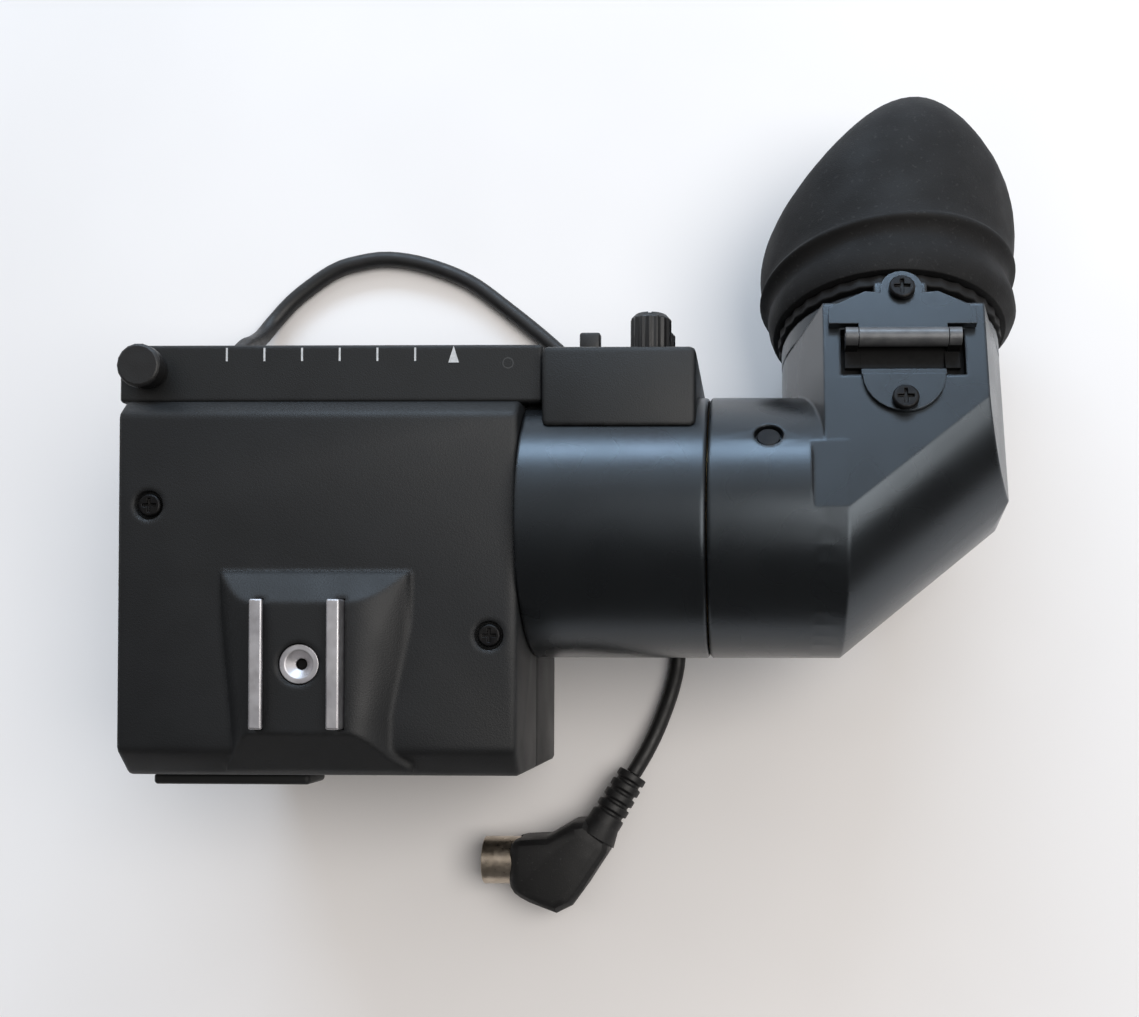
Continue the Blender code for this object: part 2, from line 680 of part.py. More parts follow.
def make_bottom_cover(finish):
    """Bottom cover that narrows to the flat bottom, with bosses for the board."""
    top = PARTING_HEIGHT - CLEAR / 2
    cover = put("bottom_cover", bridge_rings(bottom_rings(0, top, 0)), finish["case"])
    bevel(cover, HOUSING_EDGE, angle=15.0)
    hollow = bridge_rings(bottom_rings(HOUSING_WALL, top + OVERRUN, BASE_FLOOR))
    cut(cover, hollow, tool_name="hollow")
    half = HOUSING_LENGTH / 2
    window = disc(TUBE_WINDOW_RADIUS, half - HOUSING_WALL - OVERRUN, half + OVERRUN, ROUND_STEPS, "X")
    cut(cover, shift(window, (0, AXIS_Y, AXIS_Z)), tool_name="tube_window")
    for number, (x, y) in enumerate(base_screw_places()):
        boss = disc(BOARD_BOSS_RADIUS, BASE_FLOOR / 2, BOARD_HEIGHT - CLEAR, SMALL_STEPS)
        join(cover, shift(boss, (x, y, 0)), tool_name=f"boss_{number}")
        seat = BASE_HEAD_HEIGHT + BASE_HEAD_SINK
        hole = turned([
            (0, -OVERRUN), (BASE_HEAD_RADIUS + CLEAR, -OVERRUN), (BASE_HEAD_RADIUS + CLEAR, seat + CLEAR),
            (BASE_SHANK_RADIUS + CLEAR, seat + CLEAR),
            (BASE_SHANK_RADIUS + CLEAR, seat + BASE_SHANK_LENGTH + CLEAR),
            (0, seat + BASE_SHANK_LENGTH + CLEAR),
        ], SCREW_STEPS)
        cut(cover, shift(hole, (x, y, 0)), tool_name=f"base_screw_hole_{number}")
    cable_hole = disc(
        CABLE_RADIUS + CLEAR, HOUSING_DEPTH / 2 - HOUSING_WALL - OVERRUN, HOUSING_DEPTH / 2 + OVERRUN,
        SMALL_STEPS, "Y",
    )
    cut(cover, shift(cable_hole, (RELIEF_X, 0, RELIEF_Z)), tool_name="cable_hole")
    return cover


def base_screw_places():
    """Return the four corners where the base screws stand."""
    across = HOUSING_LENGTH / 2 - BASE_SCREW_INSET_X
    along = HOUSING_DEPTH / 2 - BASE_SCREW_INSET_Y
    return [(x, y) for y in (-along, along) for x in (-across, across)]


def cover_screw_places():
    """Return where the two cover screws stand, left and back, then right and front."""
    (left, back), (right, front) = COVER_SCREW_INSETS
    half_x = HOUSING_LENGTH / 2
    half_y = HOUSING_DEPTH / 2
    return [(left - half_x, half_y - back), (half_x - right, front - half_y)]


def screw_form(head_radius, head_height, shank_radius, shank_length):
    """Return a pan head screw, head up, its underside at height zero."""
    dome = head_height / 3
    return turned([
        (0, -shank_length), (shank_radius, -shank_length), (shank_radius, 0), (head_radius, 0),
        (head_radius, head_height - dome), (head_radius - dome, head_height), (0, head_height),
    ], SCREW_STEPS)


def slot_cross(piece, head_radius, head_height, parent=None, centre=(0, 0, 0)):
    """Cut a cross slot in a screw head."""
    arm = head_radius * CROSS_ARM_SHARE
    width = head_radius * CROSS_WIDTH_SHARE
    depth = head_height * CROSS_DEPTH_SHARE
    points = [
        (-arm, -width), (-width, -width), (-width, -arm), (width, -arm), (width, -width), (arm, -width),
        (arm, width), (width, width), (width, arm), (-width, arm), (-width, width), (-arm, width),
    ]
    cross = prism(points, head_height - depth, head_height + OVERRUN)
    return cut(piece, shift(cross, centre), parent, "cross")


def make_cover_screws(finish):
    """Two recessed screws in the top cover."""
    for name, (x, y) in zip(("cover_screw_left", "cover_screw_right"), cover_screw_places()):
        seat = HOUSING_TOP - COVER_RECESS_DEPTH + CLEAR
        bm = screw_form(COVER_HEAD_RADIUS, COVER_HEAD_HEIGHT, COVER_SHANK_RADIUS, COVER_SHANK_LENGTH)
        screw = put(name, shift(bm, (x, y, seat)), finish["black_steel"])
        slot_cross(screw, COVER_HEAD_RADIUS, COVER_HEAD_HEIGHT, None, (x, y, seat))


def make_base_screws(finish):
    """Four screws that hold the covers and the board from below."""
    for number, (x, y) in enumerate(base_screw_places(), start=1):
        bm = screw_form(BASE_HEAD_RADIUS, BASE_HEAD_HEIGHT, BASE_SHANK_RADIUS, BASE_SHANK_LENGTH)
        bmesh.ops.rotate(bm, cent=(0, 0, 0), matrix=Matrix.Rotation(math.pi, 3, "X"), verts=bm.verts)
        height = BASE_HEAD_HEIGHT + BASE_HEAD_SINK
        put(f"base_screw_{number}", shift(bm, (x, y, height)), finish["black_steel"])


def make_shoe(finish):
    """Two lipped metal rails and the threaded bush of the accessory shoe."""
    low = PLATFORM_TOP - RAIL_GROOVE_DEPTH + CLEAR
    lip = PLATFORM_TOP + SHOE_SLOT_HEIGHT
    top = lip + SHOE_LIP_THICK
    for name, side in (("shoe_rail_left", -1), ("shoe_rail_right", 1)):
        outer, inner = rail_wall_faces(side)
        edge = SHOE_X + side * SHOE_LIP_OPENING / 2
        outline = [(outer, low), (outer, top), (edge, top), (edge, lip), (inner, lip), (inner, low)]
        rail = put(name, prism(outline, SHOE_FRONT_Y, SHOE_BACK_Y, "Y"), finish["steel"])
        bevel(rail, CLEAR, 1)
    top = PLATFORM_TOP - CLEAR
    bottom = PLATFORM_TOP - BUSH_DEPTH - CLEAR
    bush = turned([
        (0, bottom), (BUSH_RADIUS, bottom), (BUSH_RADIUS, top), (BUSH_MOUTH_RADIUS, top),
        (BUSH_HOLE_RADIUS, top - BUSH_CONE_DEPTH), (BUSH_HOLE_RADIUS, bottom + BUSH_CONE_DEPTH / 2),
        (0, bottom + BUSH_CONE_DEPTH / 2),
    ], ROUND_STEPS)
    put("shoe_bush", shift(bush, (SHOE_X, BUSH_Y, 0)), finish["steel"])


def make_rail_bar(finish):
    """Bar with a dovetail channel below, which slides onto the camera's rail."""
    front = HOUSING_DEPTH / 2 + CLEAR
    back = front + BAR_DEPTH
    outline = [
        (BAR_LEFT, front), (BAR_RIGHT, front), (BAR_RIGHT, back), (BAR_LEFT + BAR_CORNER, back),
        (BAR_LEFT, back - BAR_CORNER),
    ]
    low = BAR_TOP - BAR_HEIGHT
    bar = put("rail_bar", prism(outline, low, BAR_TOP), finish["case"])
    bevel(bar, CLEAR * 2, 1)
    middle = (front + back) / 2
    roof = low + CHANNEL_DEPTH
    flare = (CHANNEL_ROOT - CHANNEL_MOUTH) / 2 / CHANNEL_DEPTH
    mouth = CHANNEL_MOUTH / 2 - flare * OVERRUN
    root = CHANNEL_ROOT / 2
    channel = [
        (middle - mouth, low - OVERRUN), (middle + mouth, low - OVERRUN),
        (middle + root, roof), (middle - root, roof),
    ]
    cut(bar, prism(channel, BAR_LEFT - OVERRUN, BAR_RIGHT + OVERRUN, "X"), tool_name="channel")
    scoop = disc(BARREL_RADIUS + CLEAR, HOUSING_LENGTH / 2, BAR_RIGHT + OVERRUN, FINE_STEPS, "X")
    cut(bar, on_axis(scoop), tool_name="barrel_scoop")
    floor = BAR_TOP - STOP_POCKET_DEPTH
    bore = turned([
        (0, roof - OVERRUN), (STOP_STEM_RADIUS + RUN_CLEAR, roof - OVERRUN),
        (STOP_STEM_RADIUS + RUN_CLEAR, floor), (STOP_POCKET_RADIUS + CLEAR, floor),
        (STOP_POCKET_RADIUS + CLEAR, BAR_TOP + OVERRUN), (0, BAR_TOP + OVERRUN),
    ], SMALL_STEPS)
    cut(bar, shift(bore, (STOP_X, STOP_Y, 0)), tool_name="stop_bore")
    return bar


def stop_heights():
    """Return the heights of the collar top and of the bush underside."""
    collar_low = BAR_TOP - STOP_POCKET_DEPTH + CLEAR
    bush_low = BAR_TOP - STOP_BUSH_THICK
    return collar_low, collar_low + STOP_COLLAR_THICK, bush_low


def make_stop(finish):
    """Pull knob with its lock pin, return spring and the bush that keeps them in."""
    collar_low, collar_top, bush_low = stop_heights()
    roof = BAR_TOP - BAR_HEIGHT + CHANNEL_DEPTH
    knob_low = BAR_TOP + CLEAR
    knob_top = knob_low + STOP_KNOB_HEIGHT
    waist = knob_low + STOP_KNOB_HEIGHT / 3
    rim = knob_low + STOP_KNOB_HEIGHT / 2
    knob = turned([
        (0, roof - STOP_PIN_REACH), (STOP_STEM_RADIUS - CLEAR, roof - STOP_PIN_REACH),
        (STOP_STEM_RADIUS, roof - STOP_PIN_REACH + CLEAR), (STOP_STEM_RADIUS, collar_low),
        (STOP_COLLAR_RADIUS, collar_low), (STOP_COLLAR_RADIUS, collar_top), (STOP_STEM_RADIUS, collar_top),
        (STOP_STEM_RADIUS, knob_low), (STOP_GRIP_RADIUS, knob_low), (STOP_GRIP_RADIUS, waist),
        (STOP_KNOB_RADIUS, rim), (STOP_KNOB_RADIUS, knob_top - CLEAR * 2),
        (STOP_KNOB_RADIUS - CLEAR * 2, knob_top), (0, knob_top),
    ], SMALL_STEPS)
    put("stop_knob", shift(knob, (0, 0, -knob_low)), finish["knob"], None, (STOP_X, STOP_Y, knob_low))
    bush = turned([
        (STOP_STEM_RADIUS + RUN_CLEAR, bush_low), (STOP_POCKET_RADIUS, bush_low),
        (STOP_POCKET_RADIUS, BAR_TOP - CLEAR / 2), (STOP_STEM_RADIUS + RUN_CLEAR, BAR_TOP - CLEAR / 2),
    ], SMALL_STEPS)
    put("stop_bush", shift(bush, (STOP_X, STOP_Y, 0)), finish["brass"])
    wire = STOP_SPRING_WIRE / 2
    low = collar_top + CLEAR + wire
    high = bush_low - CLEAR - wire
    radius = (STOP_STEM_RADIUS + STOP_POCKET_RADIUS) / 2 + wire / 2
    count = int(STOP_SPRING_TURNS * 10)
    points = []
    for number in range(count + 1):
        angle = math.tau * STOP_SPRING_TURNS * number / count
        height = low + (high - low) * number / count
        points.append((STOP_X + radius * math.cos(angle), STOP_Y + radius * math.sin(angle), height))
    tube("stop_spring", points, wire, finish["steel"], 1)


def tube(name, points, radius, finish, resolution=2):
    """Return a round tube with closed ends along points."""
    curve = bpy.data.curves.new(name, "CURVE")
    curve.dimensions = "3D"
    curve.bevel_depth = radius
    curve.bevel_resolution = resolution
    curve.use_fill_caps = True
    spline = curve.splines.new("POLY")
    spline.points.add(len(points) - 1)
    for point, place in zip(spline.points, points):
        point.co = (*place, 1.0)
    curve.materials.append(finish)
    piece = bpy.data.objects.new(name, curve)
    bpy.context.collection.objects.link(piece)
    return piece


def make_tally(finish):
    """Tally frame, red window and lamp on the front wall."""
    wall = -HOUSING_DEPTH / 2
    front = wall - TALLY_PROUD
    frame = put("tally_frame", block(
        (TALLY_LEFT, front, TALLY_LOW), (TALLY_RIGHT, wall - CLEAR, TALLY_HIGH)), finish["case"])
    bevel(frame, CLEAR * 2, 1)
    opening = block(
        (TALLY_LEFT + TALLY_FRAME, front - OVERRUN, TALLY_LOW + TALLY_FRAME),
        (TALLY_RIGHT - TALLY_FRAME, wall + OVERRUN, TALLY_HIGH - TALLY_FRAME))
    cut(frame, opening, tool_name="opening")
    inner = TALLY_FRAME + CLEAR
    put("tally_window", block(
        (TALLY_LEFT + inner, wall - CLEAR - TALLY_WINDOW_THICK, TALLY_LOW + inner),
        (TALLY_RIGHT - inner, wall - CLEAR, TALLY_HIGH - inner)), finish["red"])
    lamp_x = (TALLY_LEFT + TALLY_RIGHT) / 2
    lamp_z = (TALLY_LOW + TALLY_HIGH) / 2
    lamp = disc(LAMP_RADIUS, wall + CLEAR, wall + LAMP_LENGTH, SMALL_STEPS, "Y")
    put("tally_lamp", shift(lamp, (lamp_x, 0, lamp_z)), finish["red"])


def on_axis(bm):
    """Move a form made about the X axis to the tube axis."""
    return shift(bm, (0, AXIS_Y, AXIS_Z))


def make_crt_barrel(finish):
    """Fixed barrel with an end wall that bolts to the housing."""
    start = HOUSING_LENGTH / 2 + CLEAR
    bore = BARREL_RADIUS - BARREL_WALL
    lip = CLEAR * 2
    bm = turned([
        (TUBE_WINDOW_RADIUS - CLEAR, start), (BARREL_RADIUS, start), (BARREL_RADIUS, BARREL_END - lip),
        (BARREL_RADIUS - lip, BARREL_END), (bore, BARREL_END), (bore, start + BARREL_END_WALL),
        (TUBE_WINDOW_RADIUS - CLEAR, start + BARREL_END_WALL),
    ], FINE_STEPS, "X")
    put("crt_barrel", on_axis(bm), finish["paint"])


def squircle(half_width, half_height, power, x):
    """Return a ring of points between an ellipse and a rounded rectangle."""
    points = []
    for step in range(ROUND_STEPS):
        angle = math.tau * step / ROUND_STEPS
        c = math.cos(angle)
        s = math.sin(angle)
        y = half_width * math.copysign(abs(c) ** (2 / power), c)
        z = half_height * math.copysign(abs(s) ** (2 / power), s)
        points.append((x, y, z))
    return points


def tube_half_sizes(share):
    """Return half width, half height and squareness along the funnel."""
    width = TUBE_NECK_RADIUS + (TUBE_HALF_WIDTH - TUBE_NECK_RADIUS) * share
    height = TUBE_NECK_RADIUS + (TUBE_HALF_HEIGHT - TUBE_NECK_RADIUS) * share
    return width, height, 2 + (TUBE_SQUARENESS - 2) * share


def make_crt(finish):
    """Picture tube, its holder, yoke, socket and the turn bearing."""
    rings = [squircle(TUBE_NECK_RADIUS, TUBE_NECK_RADIUS, 2, TUBE_BACK)]
    for reach, growth in FUNNEL_SHARES:
        x = TUBE_NECK_END + (TUBE_RIM_START - TUBE_NECK_END) * reach
        rings.append(squircle(*tube_half_sizes(growth), x))
    rings.append(squircle(*tube_half_sizes(1.0), TUBE_RIM_END))
    dome = squircle(
        TUBE_HALF_WIDTH * DOME_SHARE, TUBE_HALF_HEIGHT * DOME_SHARE, TUBE_SQUARENESS,
        TUBE_RIM_END + TUBE_DOME)
    rings.append(dome)
    put("crt_tube", on_axis(bridge_rings(rings)), finish["screen"])

    hole = [
        squircle(TUBE_HALF_WIDTH + CLEAR, TUBE_HALF_HEIGHT + CLEAR, TUBE_SQUARENESS, x)
        for x in (HOLDER_START - OVERRUN, HOLDER_START + HOLDER_THICK + OVERRUN)
    ]
    bore = BARREL_RADIUS - BARREL_WALL
    holder = put("crt_holder", on_axis(
        disc(bore - CLEAR, HOLDER_START, HOLDER_START + HOLDER_THICK, FINE_STEPS, "X")), finish["resin"])
    cut(holder, on_axis(bridge_rings(hole)), tool_name="tube_hole")

    inner = TUBE_NECK_RADIUS + CLEAR
    yoke = turned([
        (inner, YOKE_START), (YOKE_RADIUS, YOKE_START), (YOKE_RADIUS, YOKE_START + YOKE_FLANGE),
        (YOKE_CORE_RADIUS, YOKE_START + YOKE_FLANGE), (YOKE_CORE_RADIUS, YOKE_END - YOKE_FLANGE),
        (YOKE_RADIUS, YOKE_END - YOKE_FLANGE), (YOKE_RADIUS, YOKE_END), (inner, YOKE_END),
    ], ROUND_STEPS, "X")
    put("deflection_yoke", on_axis(yoke), finish["copper"])

    socket_end = TUBE_BACK - CLEAR
    put("crt_socket", on_axis(
        disc(SOCKET_RADIUS, socket_end - SOCKET_THICK, socket_end, SMALL_STEPS, "X")), finish["resin"])

    step = ELBOW_BORE_RADIUS - RUN_CLEAR
    bearing = turned([
        (BEARING_BORE_RADIUS, BEARING_START), (bore - CLEAR, BEARING_START), (bore - CLEAR, BARREL_END),
        (step, BARREL_END), (step, BARREL_END + BEARING_REACH),
        (BEARING_BORE_RADIUS, BARREL_END + BEARING_REACH),
    ], FINE_STEPS, "X")
    put("turn_bearing", on_axis(bearing), finish["brass"])


def make_electronics(finish):
    """Main circuit board and the high voltage transformer on it."""
    board = put("main_board", block(
        (-BOARD_HALF_X, -BOARD_HALF_Y, BOARD_HEIGHT),
        (BOARD_HALF_X, BOARD_HALF_Y, BOARD_HEIGHT + BOARD_THICK)), finish["board"])
    bevel(board, CLEAR, 1)
    low = BOARD_HEIGHT + BOARD_THICK + CLEAR
    size_x, size_y, size_z = TRANSFORMER_SIZE
    body = put("high_voltage_transformer", block(
        (TRANSFORMER_X - size_x / 2, TRANSFORMER_Y - size_y / 2, low),
        (TRANSFORMER_X + size_x / 2, TRANSFORMER_Y + size_y / 2, low + size_z)), finish["resin"])
    bevel(body, HOUSING_EDGE)
    coil = disc(TRANSFORMER_COIL_RADIUS, low + size_z / 2, low + size_z + TRANSFORMER_COIL_RISE, ROUND_STEPS)
    join(body, shift(coil, (TRANSFORMER_X, TRANSFORMER_Y, 0)), tool_name="coil")


def make_control_box(finish):
    """Box whose inner side is scooped to lie on the barrel."""
    box = put("control_box", block(
        (CONTROL_LEFT, CONTROL_FRONT, CONTROL_BOTTOM), (CONTROL_RIGHT, CONTROL_BACK, CONTROL_TOP)),
        finish["case"])
    bevel(box, CONTROL_EDGE)
    wall = CONTROL_WALL
    hollow = block(
        (CONTROL_LEFT + wall, CONTROL_FRONT - OVERRUN, CONTROL_BOTTOM + wall),
        (CONTROL_RIGHT - wall, CONTROL_BACK - wall, CONTROL_TOP - wall))
    cut(box, hollow, tool_name="hollow")
    scoop = disc(BARREL_RADIUS + CLEAR, CONTROL_LEFT - OVERRUN, CONTROL_RIGHT + OVERRUN, FINE_STEPS, "X")
    cut(box, on_axis(scoop), tool_name="scoop")
    low = CONTROL_BACK - wall - OVERRUN
    high = CONTROL_BACK + OVERRUN
    for number, z in enumerate(KNOB_HEIGHTS):
        hole = disc(KNOB_HOLE_RADIUS, low, high, SMALL_STEPS, "Y")
        cut(box, shift(hole, (KNOB_X, 0, z)), tool_name=f"knob_hole_{number}")
    for number, z in enumerate(LEVER_HEIGHTS):
        slot = block(
            (LEVER_X - LEVER_SLOT_WIDTH / 2, low, z - LEVER_SLOT_HEIGHT / 2),
            (LEVER_X + LEVER_SLOT_WIDTH / 2, high, z + LEVER_SLOT_HEIGHT / 2))
        cut(box, slot, tool_name=f"lever_slot_{number}")


def knob_form():
    """Return a ribbed knob along Y with its shaft, its back face at zero."""
    chamfer = KNOB_CHAMFER
    shaft = CONTROL_WALL + CLEAR
    bm = turned([
        (0, -shaft), (KNOB_SHAFT_RADIUS, -shaft), (KNOB_SHAFT_RADIUS, 0), (KNOB_RADIUS, 0),
        (KNOB_RADIUS, KNOB_LENGTH - chamfer), (KNOB_RADIUS - chamfer, KNOB_LENGTH), (0, KNOB_LENGTH),
    ], KNOB_GRIP_COUNT * 2)
    for vert in bm.verts:
        radius = math.hypot(vert.co.x, vert.co.y)
        step = round(math.atan2(vert.co.y, vert.co.x) / math.tau * KNOB_GRIP_COUNT * 2)
        if radius > KNOB_RADIUS - chamfer / 2 and step % 2:
            vert.co.x *= 1 - KNOB_GRIP_DEPTH / radius
            vert.co.y *= 1 - KNOB_GRIP_DEPTH / radius
    return turn_to(bm, "Y")


def make_controls(finish):
    """Three knobs with potentiometers and two levers with switches."""
    names = ("brightness", "contrast", "peaking")
    for name, z in zip(names, KNOB_HEIGHTS):
        place = (KNOB_X, CONTROL_BACK + CLEAR, z)
        knob = put(f"{name}_knob", knob_form(), finish["knob"], None, place)
        half = KNOB_GRIP_DEPTH
        line = block(
            (-half, KNOB_LENGTH - half, KNOB_RADIUS / 4),
        (half, KNOB_LENGTH + OVERRUN, KNOB_RADIUS + OVERRUN))
        cut(knob, line, knob, "pointer")
        inside = CONTROL_BACK - CONTROL_WALL - CLEAR
        pot = disc(POT_RADIUS, inside - POT_DEPTH, inside, SMALL_STEPS, "Y")
        put(f"{name}_pot", shift(pot, (KNOB_X, 0, z)), finish["resin"])
    size_x, size_y, size_z = SWITCH_SIZE
    for name, z in zip(("zebra", "tally"), LEVER_HEIGHTS):
        inside = CONTROL_BACK - CONTROL_WALL - CLEAR
        face = inside - CLEAR * 2
        put(f"{name}_switch", block(
            (LEVER_X - size_x / 2, face - size_y, z - size_z / 2),
            (LEVER_X + size_x / 2, face, z + size_z / 2)), finish["resin"])
        pivot_y = inside + CLEAR
        lever = put(f"{name}_lever", block(
            (-LEVER_WIDTH / 2, 0, -LEVER_THICK / 2),
            (LEVER_WIDTH / 2, CONTROL_WALL + LEVER_PROUD, LEVER_THICK / 2)),
            finish["knob"], None, (LEVER_X, pivot_y, z))
        bevel(lever, CLEAR * 2, 2)


def oblique_form(radius, flat, stations):
    """Return a tube of (x, half height limit) stations that leans away past the fold."""
    rings = []
    for x, limit in stations:
        lean = max(0.0, x - ELBOW_FOLD) * ELBOW_LEAN
        ring = []
        for step in range(FINE_STEPS):
            angle = math.tau * step / FINE_STEPS
            size = min(radius, limit) if limit > flat else radius
            height = size * math.sin(angle)
            if limit <= flat:
                height = max(-limit, min(limit, height))
            ring.append((x, size * math.cos(angle) + lean, height))
        rings.append(ring)
    return bridge_rings(rings)


def plan_clip(right, back, reach):
    """Return the plan outline that rounds the elbow's outer corner."""
    slope = math.atan(ELBOW_LEAN)
    tangent = ELBOW_CORNER * math.tan((math.pi / 2 - slope) / 2)
    corner_s = -BARREL_RADIUS + (right - ELBOW_FOLD) * ELBOW_LEAN + (ELBOW_RIGHT - right)
    centre = (right - ELBOW_CORNER, corner_s + tangent)
    start = math.degrees(slope) - 90
    bow = arc(centre, ELBOW_CORNER, start, 0, 6)
    low_x = bow[0][0]
    return [(ELBOW_START - reach, -reach), (low_x, -reach), *bow, (right, back), (ELBOW_START - reach, back)]


def saddle_form(radius, flat, start, end, back):
    """Return the leaning half tube whose flats run on straight to the back."""
    rings = []
    for x in (start, ELBOW_FOLD, end):
        lean = max(0.0, x - ELBOW_FOLD) * ELBOW_LEAN
        ring = [(x, back, -flat)]
        for s, h in arc((lean, 0), radius, -90, -270, FINE_STEPS // 2):
            ring.append((x, s, max(-flat, min(flat, h))))
        ring.append((x, back, flat))
        rings.append(ring)
    return bridge_rings(rings)


def block_outline(radius, half, top, edge):
    """Return the (x, h) section of the eyepiece part: a tube with a flat above and below."""
    corner_x = half - edge
    corner_h = top - edge
    reach = math.hypot(corner_x, corner_h)
    touch = math.degrees(math.atan2(corner_h, corner_x) - math.acos((radius - edge) / reach))
    quarter = arc((0, 0), radius, 0, touch, 5) + arc((corner_x, corner_h), edge, touch, 90, 4)
    upper = quarter + [(-x, h) for x, h in reversed(quarter)]
    lower = [(x, -h) for x, h in reversed(upper)]
    return [(BLOCK_CENTRE + x, h) for x, h in upper + lower[1:-1]]


def make_elbow(finish, elbow):
    """Mirror elbow: barrel end, leaning mirror wall and eyepiece block."""
    reach = BARREL_RADIUS * 2
    lip = CLEAR * 2
    whole = BARREL_RADIUS * 2
    outer = [
        (ELBOW_START, BARREL_RADIUS - lip), (ELBOW_START + lip, whole), (ELBOW_CROWN_END, whole),
        (ELBOW_CROWN_END + lip, FLAT_HEIGHT), (ELBOW_FOLD + CLEAR, FLAT_HEIGHT),
    ]
    body = put("elbow_housing", oblique_form(BARREL_RADIUS, FLAT_HEIGHT, outer), finish["paint"], elbow)
    saddle = put("elbow_saddle", saddle_form(
        BARREL_RADIUS - FUSE_STEP, FLAT_HEIGHT - FUSE_STEP, SADDLE_START,
        ELBOW_RIGHT + OVERRUN, BLOCK_END + reach),
        None, elbow)
    hide_tool(saddle)
    section = block_outline(BLOCK_RADIUS, BLOCK_TOP_HALF, FLAT_HEIGHT + OVERRUN, BLOCK_TOP_ROUND)
    clip(saddle, prism(section, -reach, BLOCK_END, "Y"), elbow, "section")
    clip(saddle, prism(plan_clip(ELBOW_RIGHT, BLOCK_END + reach, reach), -reach, reach), elbow, "corner")
    combine(body, saddle, "UNION", "saddle")

    tight = [(x, HOLLOW_HEIGHT) for x in (ELBOW_BORE_END - CLEAR, ELBOW_FOLD + CLEAR)]
    cut(body, oblique_form(HOLLOW_RADIUS, HOLLOW_HEIGHT, tight), elbow, "tube_hollow")
    right = ELBOW_RIGHT - ELBOW_WALL
    hollow = put("elbow_hollow", saddle_form(
        HOLLOW_RADIUS - FUSE_STEP, HOLLOW_HEIGHT - FUSE_STEP, ELBOW_BORE_END + CLEAR,
        ELBOW_RIGHT, BLOCK_END + reach),
        None, elbow)
    hide_tool(hollow)
    section = block_outline(
        BLOCK_RADIUS - ELBOW_WALL, BLOCK_TOP_HALF - ELBOW_WALL, FLAT_HEIGHT - ELBOW_WALL, BLOCK_TOP_ROUND)
    clip(hollow, prism(section, -reach, BLOCK_END - ELBOW_WALL, "Y"), elbow, "section")
    clip(hollow, prism(plan_clip(right, BLOCK_END + reach, reach), -reach, reach), elbow, "corner")
    combine(body, hollow, "DIFFERENCE", "block_hollow")
    bore = disc(ELBOW_BORE_RADIUS, ELBOW_START - OVERRUN, ELBOW_BORE_END, FINE_STEPS, "X")
    cut(body, bore, elbow, "bearing_bore")
    eye_bore = disc(EYE_BORE_RADIUS, BLOCK_END - ELBOW_WALL * 3, BLOCK_END + OVERRUN, FINE_STEPS, "Y")
    cut(body, shift(eye_bore, (BLOCK_CENTRE, 0, 0)), elbow, "eye_bore")

    pocket = block(
        (HINGE_X - POCKET_HALF, POCKET_FRONT, FLAT_HEIGHT - POCKET_DEPTH),
        (HINGE_X + POCKET_HALF, POCKET_BACK, FLAT_HEIGHT + OVERRUN))
    cut(body, pocket, elbow, "hinge_pocket")
    depth = FLAT_HEIGHT - HINGE_SHANK_LENGTH
    hole = disc(HINGE_SHANK_RADIUS + CLEAR, depth, FLAT_HEIGHT + OVERRUN, SCREW_STEPS)
    cut(body, shift(hole, (HINGE_X, LEAF_SCREW_S, 0)), elbow, "leaf_screw_hole")
    recess = disc(RECESS_RADIUS, BARREL_RADIUS - RECESS_DEPTH, BARREL_RADIUS + OVERRUN, SMALL_STEPS)
    lean = Matrix.Rotation(-RECESS_ANGLE, 3, "X")
    bmesh.ops.rotate(recess, cent=(0, 0, 0), matrix=lean, verts=recess.verts)
    cut(body, shift(recess, (RECESS_X, 0, 0)), elbow, "screw_recess")

    screw = disc(FRICTION_HEAD_RADIUS, 0, FRICTION_HEAD_HEIGHT, SMALL_STEPS)
    bmesh.ops.translate(screw, vec=(0, 0, BARREL_RADIUS - RECESS_DEPTH + CLEAR), verts=screw.verts)
    bmesh.ops.rotate(screw, cent=(0, 0, 0), matrix=Matrix.Rotation(-RECESS_ANGLE, 3, "X"), verts=screw.verts)
    put("friction_screw", shift(screw, (RECESS_X, 0, 0)), finish["black_steel"], elbow)


def mirror_outline(offset, thick, half_length):
    """Return the (x, s) corners of a plate that stands at 45 degrees."""
    share = math.sqrt(0.5)
    points = []
    for along, across in (
        (-half_length, offset), (half_length, offset),
        (half_length, offset + thick), (-half_length, offset + thick),
    ):
        points.append((BLOCK_CENTRE + (along + across) * share, (along - across) * share))
    return points


def make_mirror(finish, elbow):
    """Mirror plate and the holder that carries it on the elbow wall."""
    half = MIRROR_HALF_HEIGHT
    plate = mirror_outline(0, MIRROR_THICK, MIRROR_HALF_LENGTH)
    put("mirror", prism(plate, -half, half), finish["mirror"], elbow)
    behind = MIRROR_THICK + CLEAR
    holder = put("mirror_holder", prism(
        mirror_outline(behind, HOLDER_PLATE, MIRROR_HALF_LENGTH * HOLDER_LENGTH_SHARE), -half, half),
        finish["black_steel"], elbow)
    dip = math.sqrt(HOLLOW_RADIUS ** 2 - HOLDER_POST_HALF ** 2) - CLEAR * 2
    wall = [(x, -dip + (x - ELBOW_FOLD) * ELBOW_LEAN) for x in (HOLDER_POST_START, HOLDER_POST_END)]
    depth = behind + HOLDER_PLATE / 2
    share = math.sqrt(0.5)
    front = []
    for x, s in reversed(wall):
        along = ((x - BLOCK_CENTRE) + s) * share
        front.append((BLOCK_CENTRE + (along + depth) * share, (along - depth) * share))
    join(holder, prism(wall + front, -HOLDER_POST_HALF, HOLDER_POST_HALF), elbow, "post")


def leaf_outline():
    """Return the (x, s) outline of the fixed hinge leaf with its round nose."""
    nose = POCKET_FRONT - CLEAR
    return arc((HINGE_X, nose), LEAF_ROUND, 180, 360, 14)


